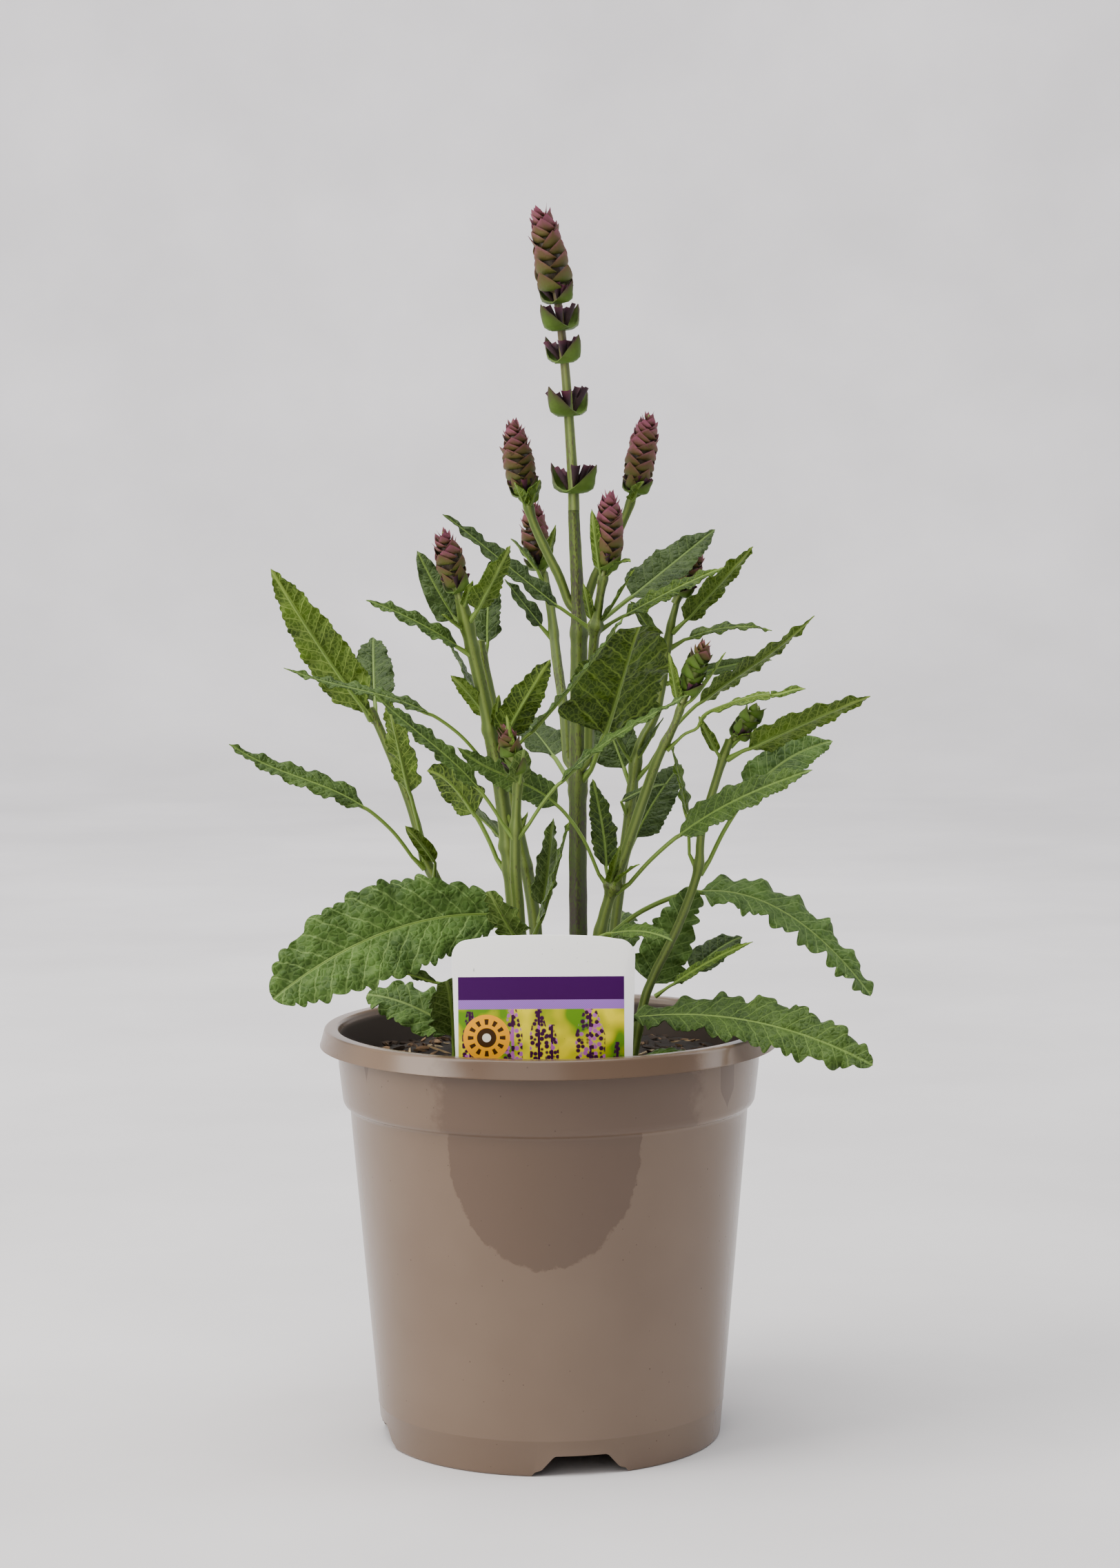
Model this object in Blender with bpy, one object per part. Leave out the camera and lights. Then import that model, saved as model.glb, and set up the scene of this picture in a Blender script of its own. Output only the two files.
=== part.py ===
"""Woodland sage in a two-litre nursery pot, as a set of separate solids.

The pot stands on the ground at the origin, with +Z up and its label towards -Y. Sizes are in
millimetres and are turned to metres where the meshes are made. The plant is described from the
middle of the compost's surface: x to the right, y away from the label, h above the compost.
"""

import math

import bmesh
import bpy
from mathutils import Matrix, Vector

MM = 0.001
GAP = 0.3                   # clearance kept between pieces that touch on the real plant

# Pot
POT_HEIGHT = 153.5
RIM_OVERHANG = 6.5          # how far the rim's skirt stands out from the collar at its lower edge
RIM_SKIRT_HEIGHT = 6.7
RIM_DRAFT = 1.5             # how much the skirt narrows towards its top
COLLAR_RADIUS = 78.5        # outside of the collar just under the rim
COLLAR_HEIGHT = 29.0        # from the rim's top down to the step
COLLAR_DRAFT = 1.7
STEP_WIDTH = 2.9            # how far the collar stands out from the body
STEP_ROUNDING = 2.6
BASE_RADIUS = 63.4
SEAM_HEIGHT = 13.3
WALL = 1.4
FLOOR_HEIGHT = 9.0          # underside of the raised floor
FOOT_WIDTH = 2.6
POT_SEGMENTS = 64

# Drain cut-outs in the foot, and the holes in the floor beside them
DRAIN_COUNT = 4
DRAIN_FIRST_ANGLE = -80.1   # degrees from +X, so that one cut-out is just right of the label
DRAIN_WIDTH = 34.0
DRAIN_TOP_WIDTH = 18.0
DRAIN_HEIGHT = 7.6
DRAIN_HOLE_RADIUS = 5.0
DRAIN_HOLE_INSET = 15.0

# Compost
COMPOST_DEPTH_BELOW_RIM = 12.0
COMPOST_EDGE_DROP = 2.0
COMPOST_FLAT_SHARE = 0.72

# Label
LABEL_WIDTH = 64.5
LABEL_TAPER = 2.0           # how much narrower the printed panel is at the rim
LABEL_STICK_OUT = 40.5      # above the rim
LABEL_SHOULDER = 20.0       # below the rim, where it starts to narrow into its stake
LABEL_BURIED = 46.0
LABEL_CLEARANCE = 2.5       # from the label's edges to the pot's wall
LABEL_THICKNESS = 0.8
LABEL_CORNER = 6.0
LABEL_CROWN = 1.6           # rise of the top edge's middle
LABEL_OFFSET = -1.4

# Plant
PLANT_SIZE = 1.0            # scales the plant about the middle of the compost
STEM_THICKNESS = 1.0        # scales every stem's radius
LEAF_WIDTH = 1.0            # scales every blade's width
BLADE_THICKNESS = 1.0
BLADE_FOLD = 0.22           # rise of a blade's edge above its midrib, per half width
PETIOLE_HALF_WIDTH = 1.15
PETIOLE_HALF_THICKNESS = 0.85
STEM_SIDES = 8
STEM_STEPS = 3

COMPOST_TOP = POT_HEIGHT - COMPOST_DEPTH_BELOW_RIM
RIM_RADIUS = COLLAR_RADIUS + RIM_OVERHANG
RIM_TOP_RADIUS = RIM_RADIUS - RIM_DRAFT
BODY_TOP = POT_HEIGHT - COLLAR_HEIGHT
BODY_TOP_RADIUS = COLLAR_RADIUS - COLLAR_DRAFT - STEP_WIDTH
FLOOR_TOP = FLOOR_HEIGHT + WALL


# ---------------------------------------------------------------- shared helpers

def clear_scene():
    for old in list(bpy.data.objects):
        bpy.data.objects.remove(old, do_unlink=True)


def finish(name):
    """The Principled material of that name, made once."""
    colour, roughness = FINISHES[name]
    material = bpy.data.materials.get(name)
    if material is None:
        material = bpy.data.materials.new(name)
        material.use_nodes = True
        shader = material.node_tree.nodes["Principled BSDF"]
        shader.inputs["Base Color"].default_value = (*colour, 1)
        shader.inputs["Roughness"].default_value = roughness
        shader.inputs["Metallic"].default_value = 0.0
    return material


FINISHES = {
    "pot_plastic": ((0.29, 0.22, 0.17), 0.25),
    "compost": ((0.03, 0.018, 0.01), 0.95),
    "label_plastic": ((0.80, 0.81, 0.80), 0.35),
    "stem_green": ((0.16, 0.21, 0.07), 0.5),
    "leaf_green": ((0.07, 0.15, 0.03), 0.5),
    "flower_purple": ((0.17, 0.06, 0.07), 0.6),
}


def add_object(name, mesh, material):
    """A named object from a bmesh in millimetres."""
    bmesh.ops.scale(mesh, vec=(MM, MM, MM), verts=mesh.verts)
    bmesh.ops.recalc_face_normals(mesh, faces=mesh.faces)
    data = bpy.data.meshes.new(name)
    mesh.to_mesh(data)
    mesh.free()
    data.materials.append(finish(material))
    data.shade_smooth()
    data.set_sharp_from_angle(angle=math.radians(35))
    made = bpy.data.objects.new(name, data)
    bpy.context.scene.collection.objects.link(made)
    return made


def hidden_cutter(name, mesh):
    made = add_object(name, mesh, "pot_plastic")
    made.hide_render = True
    made.display_type = "WIRE"
    return made


def cut(target, cutter):
    """Takes the cutter's shape out of the target."""
    modifier = target.modifiers.new(cutter.name, "BOOLEAN")
    modifier.operation = "DIFFERENCE"
    modifier.object = cutter


def turned(name, profile, segments, material):
    """A solid of revolution about Z from a profile of (radius, z) that starts and ends on the axis
    or closes on itself."""
    mesh = bmesh.new()
    verts = [mesh.verts.new((radius, 0, z)) for radius, z in profile]
    on_axis = profile[0][0] == 0 and profile[-1][0] == 0
    pairs = list(zip(verts, verts[1:]))
    if not on_axis:
        pairs.append((verts[-1], verts[0]))
    edges = [mesh.edges.new(pair) for pair in pairs]
    bmesh.ops.spin(mesh, geom=verts + edges, cent=(0, 0, 0), axis=(0, 0, 1),
                   angle=math.tau, steps=segments, use_merge=True)
    bmesh.ops.remove_doubles(mesh, verts=mesh.verts, dist=0.001)
    return add_object(name, mesh, material)


def prism(outline, start, end):
    """A bmesh of a flat outline of Vectors at `start`, extruded by the vector from start to end."""
    mesh = bmesh.new()
    face = mesh.faces.new([mesh.verts.new(point + start) for point in outline])
    made = bmesh.ops.extrude_face_region(mesh, geom=[face])
    moved = [v for v in made["geom"] if isinstance(v, bmesh.types.BMVert)]
    bmesh.ops.translate(mesh, vec=end - start, verts=moved)
    return mesh


# ---------------------------------------------------------------- pot, compost and label

def wall_radius(z):
    """Outside radius of the pot's body at a height below the step."""
    return BASE_RADIUS + (BODY_TOP_RADIUS - BASE_RADIUS) * z / BODY_TOP


def collar_radius(z):
    """Outside radius of the collar at a height above the step."""
    return COLLAR_RADIUS - COLLAR_DRAFT * (POT_HEIGHT - z) / COLLAR_HEIGHT


def pot_profile():
    rim_under = POT_HEIGHT - RIM_SKIRT_HEIGHT
    rounded = BODY_TOP + STEP_ROUNDING
    outside = [
        (BASE_RADIUS, 0),
        (wall_radius(SEAM_HEIGHT), SEAM_HEIGHT),
        (wall_radius(BODY_TOP / 2), BODY_TOP / 2),
        (BODY_TOP_RADIUS, BODY_TOP),
        (collar_radius(rounded) - 0.3 * STEP_WIDTH, BODY_TOP + 0.35 * STEP_ROUNDING),
        (collar_radius(rounded), rounded),
        (COLLAR_RADIUS, POT_HEIGHT - WALL),
    ]
    rim = [
        (RIM_TOP_RADIUS - WALL, POT_HEIGHT - WALL),
        (RIM_RADIUS - WALL, rim_under),
        (RIM_RADIUS, rim_under),
        (RIM_TOP_RADIUS, POT_HEIGHT - 0.5),
        (RIM_TOP_RADIUS - 0.6, POT_HEIGHT),
        (COLLAR_RADIUS, POT_HEIGHT),
    ]
    inside = [
        (COLLAR_RADIUS - WALL, POT_HEIGHT - WALL),
        (collar_radius(rounded) - WALL, rounded + 0.4),
        (BODY_TOP_RADIUS - WALL, BODY_TOP - 0.6),
        (wall_radius(FLOOR_TOP) - WALL, FLOOR_TOP),
        (0, FLOOR_TOP),
        (0, FLOOR_HEIGHT),
        (BASE_RADIUS - FOOT_WIDTH, FLOOR_HEIGHT),
        (BASE_RADIUS - FOOT_WIDTH, 0),
    ]
    return outside + rim + inside


def drain_outline():
    """The cut-out in the foot, seen along the radius: wide at the ground, with rounded shoulders."""
    half, top = DRAIN_WIDTH / 2, DRAIN_TOP_WIDTH / 2
    lip = 1.7
    right = [
        Vector((0, half + 3, -3)),
        Vector((0, half, lip)),
        Vector((0, half - 3.2, lip + 0.7)),
        Vector((0, top + 2.2, DRAIN_HEIGHT - 1.4)),
        Vector((0, top, DRAIN_HEIGHT)),
    ]
    return right + [Vector((0, -p.y, p.z)) for p in reversed(right)]


def make_pot():
    pot = turned("pot", pot_profile(), POT_SEGMENTS, "pot_plastic")
    for index in range(DRAIN_COUNT):
        turn = Matrix.Rotation(math.radians(DRAIN_FIRST_ANGLE + index * 360 / DRAIN_COUNT), 4, "Z")
        slot = prism(drain_outline(), Vector((BASE_RADIUS - 3 * FOOT_WIDTH, 0, 0)),
                     Vector((BASE_RADIUS + 3 * FOOT_WIDTH, 0, 0)))
        hole = bmesh.new()
        bmesh.ops.create_cone(hole, cap_ends=True, segments=16, radius1=DRAIN_HOLE_RADIUS,
                              radius2=DRAIN_HOLE_RADIUS, depth=6 * WALL)
        place = Vector((BASE_RADIUS - DRAIN_HOLE_INSET, 0, FLOOR_HEIGHT + WALL / 2))
        bmesh.ops.translate(hole, vec=place, verts=hole.verts)
        for kind, mesh in (("drain_slot", slot), ("drain_hole", hole)):
            bmesh.ops.transform(mesh, matrix=turn, verts=mesh.verts)
            cut(pot, hidden_cutter(f"{kind}_{index + 1}", mesh))


def label_y(z):
    """Where the label's middle plane stands: just inside the collar's wall at the label's edges."""
    reach = collar_radius(POT_HEIGHT) - WALL - LABEL_CLEARANCE
    return -math.sqrt(reach**2 - (LABEL_WIDTH / 2 + abs(LABEL_OFFSET)) ** 2)


def label_outline(grow):
    """The label's outline in its own plane, as (x, z), grown all round by `grow`."""
    top = POT_HEIGHT + LABEL_STICK_OUT
    half = LABEL_WIDTH / 2 + grow
    foot_half = half - LABEL_TAPER / 2
    bottom = POT_HEIGHT - LABEL_BURIED - grow
    corner = [
        (half - LABEL_CORNER * (1 - math.cos(a)), top - LABEL_CORNER * (1 - math.sin(a)) + grow)
        for a in (0, math.pi / 6, math.pi / 3, math.pi / 2)
    ]
    crown = [(half * 0.4, top + LABEL_CROWN * 0.8 + grow), (0, top + LABEL_CROWN + grow)]
    right = [
        (LABEL_WIDTH / 12 + grow, bottom),
        (foot_half * 0.56, bottom + 0.5 * (LABEL_BURIED - LABEL_SHOULDER)),
        (foot_half, POT_HEIGHT - LABEL_SHOULDER),
        (foot_half, POT_HEIGHT),
        *corner,
        *crown,
    ]
    return right + [(-x, z) for x, z in reversed(right[:-1])]


def label_prism(grow):
    y = label_y(POT_HEIGHT)
    thick = LABEL_THICKNESS / 2 + grow
    outline = [Vector((x + LABEL_OFFSET, 0, z)) for x, z in label_outline(grow)]
    return prism(outline, Vector((0, y - thick, 0)), Vector((0, y + thick, 0)))


def make_compost():
    room = WALL + GAP
    top_radius = collar_radius(COMPOST_TOP) - room
    profile = [
        (0, FLOOR_TOP + GAP),
        (wall_radius(FLOOR_TOP) - room - 0.2, FLOOR_TOP + GAP),
        (BODY_TOP_RADIUS - room - 0.2, BODY_TOP - 1.0),
        (collar_radius(BODY_TOP + STEP_ROUNDING) - room, BODY_TOP + STEP_ROUNDING + 1.4),
        (top_radius, COMPOST_TOP - COMPOST_EDGE_DROP),
        (top_radius * COMPOST_FLAT_SHARE, COMPOST_TOP),
        (0, COMPOST_TOP),
    ]
    compost = turned("compost", profile, 48, "compost")
    cut(compost, hidden_cutter("label_slot", label_prism(GAP)))


def make_label():
    add_object("plant_label", label_prism(0), "label_plastic")


# ---------------------------------------------------------------- stems

def smooth_route(points, steps):
    """Points along a centripetal-looking Catmull-Rom curve through hand-placed points."""
    padded = [points[0] * 2 - points[1], *points, points[-1] * 2 - points[-2]]
    route = []
    for index in range(len(points) - 1):
        a, b, c, d = padded[index:index + 4]
        for step in range(steps):
            t = step / steps
            route.append(0.5 * ((2 * b) + (c - a) * t + (2 * a - 5 * b + 4 * c - d) * t**2
                                + (3 * b - a - 3 * c + d) * t**3))
    return route + [points[-1]]


def plant_point(x, y, h):
    return Vector((x * PLANT_SIZE, y * PLANT_SIZE, COMPOST_TOP + h * PLANT_SIZE))


class Stem:
    """A stem or branch through hand-placed points (x, y, h), with its radius along them."""

    def __init__(self, name, points, radii, starts_on=None):
        self.name = name
        self.starts_on = starts_on
        self.points = [plant_point(*p) for p in points]
        self.radii = [r * STEM_THICKNESS for r in radii]
        if starts_on is not None:
            self.stand_off(STEMS[starts_on])

    def stand_off(self, parent):
        """Move a shoot's foot out or in as the two grow thicker or thinner than the plant."""
        axis, trunk, radius = parent.at((self.points[0].z - COMPOST_TOP) / PLANT_SIZE)
        away = self.points[0] - axis
        away = (away - trunk * away.dot(trunk)).normalized()
        thicker = (radius + self.radii[0]) * (1 - PLANT_SIZE / STEM_THICKNESS)
        last = len(self.points) - 1
        self.points = [p + away * thicker * (1 - i / last) for i, p in enumerate(self.points)]

    def at(self, h):
        """(point, direction, radius) of the stem at that height above the compost."""
        z = COMPOST_TOP + h * PLANT_SIZE
        route = smooth_route(self.points, 8)
        low = next((i for i, p in enumerate(route[:-1]) if route[i + 1].z >= z), len(route) - 2)
        a, b = route[low], route[low + 1]
        share = min(max((z - a.z) / max(b.z - a.z, 1e-6), 0), 1)
        along = (low + share) / (len(route) - 1)
        return a.lerp(b, share), (b - a).normalized(), self.radius(along)

    def end(self):
        """(point, direction) of the stem's very end."""
        route = smooth_route(self.points, STEM_STEPS)
        ahead = (route[-1] - route[-2]).normalized()
        return route[-1] + ahead * 0.6 * self.radii[-1], ahead

    def radius(self, along):
        place = along * (len(self.radii) - 1)
        index = min(int(place), len(self.radii) - 2)
        return self.radii[index] + (self.radii[index + 1] - self.radii[index]) * (place - index)


STEMS = {
    stem.name: stem
    for stem in (
        Stem("centre", [(11.3, 8, 0), (11.3, 6, 44), (11.3, 5, 88), (11.8, 4.5, 130), (12.2, 4, 158),
                        (11.8, 4, 170), (10.6, 3, 198), (10.5, 2, 204)],
             (3.4, 3.3, 3.2, 3.1, 3.0, 2.4, 2.1, 2.0)),
        Stem("front_left", [(-7, -19, 0), (-9.8, -19, 22), (-12.7, -21, 64), (-17.2, -24, 106),
                            (-22.7, -28, 136), (-28.6, -31, 163), (-30.8, -32, 172)],
             (2.9, 2.8, 2.7, 2.6, 2.4, 2.2, 1.6)),
        Stem("front_short", [(-8.8, -30, 0), (-10.1, -32, 53), (-11.4, -35, 73), (-11.2, -37, 90),
                             (-10.2, -38, 107)], (2.2, 2.1, 2.0, 1.8, 1.4)),
        Stem("back_left", [(-3, 21, 0), (-5.1, 23, 49), (-11.4, 25, 83), (-18.5, 28, 119),
                           (-24, 30, 145), (-25, 30, 153)], (2.5, 2.4, 2.3, 2.2, 2.1, 1.6)),
        Stem("far_left", [(-18, 1, 0), (-24, 2, 23), (-33, 3, 47), (-41.1, 4, 65), (-45.2, 4, 73),
                          (-51.2, 5, 95), (-62.4, 7, 123), (-66.4, 7, 130)],
             (2.5, 2.4, 2.3, 2.3, 2.2, 2.1, 1.9, 1.6)),
        Stem("front_right", [(11, -17, 0), (13.9, -18, 26), (21.1, -21, 57), (27.8, -24, 77),
                             (35.7, -30, 101), (40.7, -33, 115), (45.8, -35, 125),
                             (49.3, -36, 135)], (3.0, 3.0, 2.8, 2.6, 2.5, 2.3, 1.9, 1.5)),
        Stem("far_right", [(31, -11, 0), (36.2, -10, 25), (47.4, -8, 48), (55.3, -6, 69),
                           (56.8, -5, 84), (61.9, -2, 101), (66.5, -1, 115), (68.6, 0, 117.5)],
             (2.3, 2.3, 2.2, 2.2, 2.1, 2.1, 2.0, 1.6)),
        Stem("back_right", [(20, 32, 0), (25.5, 34, 45), (31.3, 38, 88), (34.9, 39, 112),
                            (42, 41, 126), (46.5, 43, 154), (50, 44, 168)],
             (2.7, 2.6, 2.6, 2.5, 2.3, 2.0, 1.6)),
    )
}

# Side shoots that leave the centre stem at a joint
SHOOTS = (
    Stem("shoot_low_left", [(7.6, 9.4, 109), (6.4, 14, 128), (3.7, 20, 148), (1.7, 26, 166),
                            (-1.2, 31, 179)], (1.9, 1.9, 1.9, 1.7, 1.5), "centre"),
    Stem("shoot_low_right", [(15.5, 2, 110), (16, -3.5, 129), (17.5, -8, 154), (19.2, -10, 167),
                             (21.2, -11, 179)], (1.9, 1.9, 1.9, 1.7, 1.5), "centre"),
    Stem("shoot_high_left", [(8.2, 5.6, 169), (5, 6, 178), (1, 7, 186), (-4.1, 8, 197),
                             (-6.8, 8, 206)], (1.7, 1.7, 1.7, 1.6, 1.5), "centre"),
    Stem("shoot_high_right", [(15.2, 7.8, 169), (18.2, 9, 178), (25.2, 11, 191), (30.1, 13, 201),
                              (32.2, 13, 207)], (1.7, 1.7, 1.7, 1.6, 1.5), "centre"),
)
STEMS.update({shoot.name: shoot for shoot in SHOOTS})


def tube(name, centres, radii, sides, material, tip, foot):
    """A closed tube of rings that ends in a point at `tip`; its first ring faces along `foot`."""
    mesh = bmesh.new()
    rings = []
    side = Vector((1, 0, 0))
    for index, (centre, radius) in enumerate(zip(centres, radii)):
        ahead = centres[min(index + 1, len(centres) - 1)]
        behind = centres[max(index - 1, 0)]
        along = (ahead - behind).normalized()
        if index == 0:
            along = foot
        side = (side - along * side.dot(along)).normalized()
        up = along.cross(side)
        ring = [
            mesh.verts.new(centre + (side * math.cos(a) + up * math.sin(a)) * radius)
            for a in (math.tau * k / sides for k in range(sides))
        ]
        rings.append(ring)
    for low, high in zip(rings, rings[1:]):
        for k in range(sides):
            mesh.faces.new((low[k], low[(k + 1) % sides], high[(k + 1) % sides], high[k]))
    mesh.faces.new(list(reversed(rings[0])))
    point = mesh.verts.new(tip)
    for k in range(sides):
        mesh.faces.new((rings[-1][k], rings[-1][(k + 1) % sides], point))
    return add_object(name, mesh, material)


def make_stem(stem):
    route = smooth_route(stem.points, STEM_STEPS)
    foot = Vector((0, 0, 1))
    if stem.starts_on is None:
        route[0] = route[0] + foot * GAP
    else:
        foot = (route[1] - route[0]).normalized()
    count = len(route) - 1
    radii = [stem.radius(i / count) for i in range(count + 1)]
    tube(f"stem_{stem.name}", route, radii, STEM_SIDES, "stem_green", stem.end()[0], foot)


# ---------------------------------------------------------------- flower spikes

class Spike:
    """A flower spike on the end of a stem: hand-placed axis points and the radius at each."""

    def __init__(self, stem, points, radii):
        self.stem = stem
        self.points = [plant_point(*p) for p in points]
        self.radii = [r * PLANT_SIZE for r in radii]


SPIKES = (
    Spike("centre", [(10.3, 2, 212), (10.1, 2, 220), (10, 2, 222), (9.2, 2, 236), (8.8, 2, 239),
                     (8.4, 1, 246), (8.1, 1, 248), (7.2, 1, 255), (6.8, 1, 259), (6.3, 1, 266),
                     (6.1, 1, 268.5), (6, 1, 271), (5.6, 1, 277.5), (4.8, 1, 280), (3.8, 1, 288),
                     (2.6, 1, 297), (1.2, 1, 303), (-0.4, 1, 308), (-1.6, 1, 312)],
          (6.2, 6.6, 2.4, 2.3, 7.0, 7.6, 2.4, 2.3, 5.8, 6.4, 3.6, 6.8, 6.6, 5.6, 5.9, 5.2, 4.4,
           3.2, 0.0)),
    Spike("shoot_low_left", [(-2.6, 32, 184), (-3.4, 33, 188), (-4.0, 34, 194), (-4.8, 34, 201),
                             (-5.4, 34, 206)], (4.4, 5.0, 4.8, 3.2, 0.0)),
    Spike("shoot_low_right", [(22, -11, 183), (23.2, -11, 189), (23.3, -11, 197),
                              (23.4, -11, 204), (23.4, -11, 209)], (3.8, 4.8, 4.8, 2.9, 0.0)),
    Spike("shoot_high_left", [(-7.8, 8, 210), (-8.8, 8, 215), (-10.1, 8, 223), (-11.1, 8, 230),
                              (-11.6, 8, 235)], (4.6, 5.4, 5.2, 3.4, 0.0)),
    Spike("shoot_high_right", [(33.3, 13, 211), (34.4, 13, 216), (36.1, 13, 225), (37.8, 13, 233),
                               (38.6, 13, 237.5)], (4.2, 5.2, 5.1, 3.3, 0.0)),
    Spike("front_left", [(-31.9, -32, 176), (-33, -32, 180), (-34.2, -33, 186), (-35.6, -33, 191),
                         (-36.5, -34, 195)], (3.8, 4.8, 4.6, 3.2, 0.0)),
    Spike("front_short", [(-11, -38, 111), (-12.2, -38, 115), (-13.7, -38, 121),
                          (-14.5, -38, 125)], (3.0, 4.1, 3.0, 0.0)),
    Spike("front_right", [(51, -36, 139), (52.3, -36, 143), (54.7, -37, 149), (56.8, -37, 155)],
          (3.2, 4.1, 3.7, 0.0)),
    Spike("far_right", [(71.2, 0, 120), (73.1, 0, 123), (75.8, 0, 126.5), (78.4, 0, 130)],
          (3.0, 4.0, 3.5, 0.0)),
    Spike("back_right", [(52.2, 44, 173), (53.7, 44, 177), (55.5, 44, 183), (57, 44, 188)],
          (3.4, 4.4, 3.8, 0.0)),
)


def make_spike(spike):
    stem = STEMS[spike.stem]
    end, ahead = stem.end()
    centres = [end + ahead * GAP, *spike.points[:-1]]
    radii = [stem.radii[-1], *spike.radii[:-1]]
    tube(f"spike_{spike.stem}", centres, radii, STEM_SIDES, "flower_purple", spike.points[-1],
         ahead)


# ---------------------------------------------------------------- leaves

class Leaf:
    """A leaf on a stem: where it leaves the stem, where its tip is and how it bends between.

    `h` is the joint's height, `tip` is (x, y, h). `bend` lifts the midrib by that many
    millimetres at a third and at two thirds of its length, `sway` moves it sideways there, and
    `roll` turns the blade about its midrib, in degrees, at its base and at its tip.
    """

    def __init__(self, name, stem, h, tip, width, stalk=0.25, bend=(0, 0), sway=(0, 0),
                 roll=(0, 0), shape="lance"):
        self.name = name
        self.tip = plant_point(*tip)
        self.shape = shape
        self.stalk = stalk
        self.half = width * LEAF_WIDTH * PLANT_SIZE / 2
        self.roll = [math.radians(a) for a in roll]
        axis, trunk, radius = STEMS[stem].at(h)
        flat = Vector((self.tip.x - axis.x, self.tip.y - axis.y, 0))
        self.side = flat.normalized().cross(Vector((0, 0, 1)))
        lift = [Vector((0, 0, b * PLANT_SIZE)) + self.side * s * PLANT_SIZE
                for b, s in zip(bend, sway)]
        ahead = axis.lerp(self.tip, 1 / 3) + lift[0]
        start = (ahead - axis).normalized()
        aside = (start - trunk * start.dot(trunk)).normalized()
        base = axis + aside * (radius + PETIOLE_HALF_WIDTH + GAP)
        self.bezier = (base, ahead, axis.lerp(self.tip, 2 / 3) + lift[1], self.tip)

    def point(self, t):
        a, b, c, d = self.bezier
        s = 1 - t
        return a * s**3 + b * 3 * s**2 * t + c * 3 * s * t**2 + d * t**3

    def frame(self, t):
        """(point, along, side, up) of the midrib."""
        a, b, c, d = self.bezier
        s = 1 - t
        along = ((b - a) * s**2 + (c - b) * 2 * s * t + (d - c) * t**2).normalized()
        side = (self.side - along * self.side.dot(along)).normalized()
        roll = self.roll[0] + (self.roll[1] - self.roll[0]) * t
        side = Matrix.Rotation(roll, 3, along) @ side
        return self.point(t), along, side, side.cross(along)

    def blade_share(self, s):
        """Half width of the blade at s from its base to its tip, as a share of the widest."""
        if self.shape == "oblong":
            return min(1.0, (0.05 + s) ** 0.45 * (1 - s) ** 0.55 * 1.62)
        return min(1.0, (0.06 + s) ** 0.4 * (1 - s) ** 0.75 * 1.97)


def make_leaf(leaf):
    mesh = bmesh.new()
    stalk_stations = [leaf.stalk * k / 2 for k in range(3)] if leaf.stalk > 0 else [0.0]
    blade_stations = (0.10, 0.25, 0.42, 0.60, 0.78, 0.91)
    rings = []
    for t in stalk_stations:
        rings.append((t, PETIOLE_HALF_WIDTH, PETIOLE_HALF_THICKNESS, 0.0))
    for s in blade_stations:
        t = leaf.stalk + (1 - leaf.stalk) * s
        half = leaf.half * leaf.blade_share(s)
        rings.append((t, half, BLADE_THICKNESS * (1 - 0.5 * s) / 2, BLADE_FOLD * half))
    made = []
    for t, half, thick, fold in rings:
        point, _, side, up = leaf.frame(t)
        made.append([mesh.verts.new(p) for p in (
            point + side * half + up * fold, point + up * thick,
            point - side * half + up * fold, point - up * thick * 1.3)])
    for low, high in zip(made, made[1:]):
        for k in range(4):
            mesh.faces.new((low[k], low[(k + 1) % 4], high[(k + 1) % 4], high[k]))
    mesh.faces.new(list(reversed(made[0])))
    tip = mesh.verts.new(leaf.tip)
    for k in range(4):
        mesh.faces.new((made[-1][k], made[-1][(k + 1) % 4], tip))
    add_object(leaf.name, mesh, "leaf_green")


def over_rim(angle, beyond, h):
    """A tip that hangs outside the pot: that far beyond the rim, at height h above the compost."""
    reach = (RIM_RADIUS + beyond) / PLANT_SIZE
    return (reach * math.cos(math.radians(angle)), reach * math.sin(math.radians(angle)), h)


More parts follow.
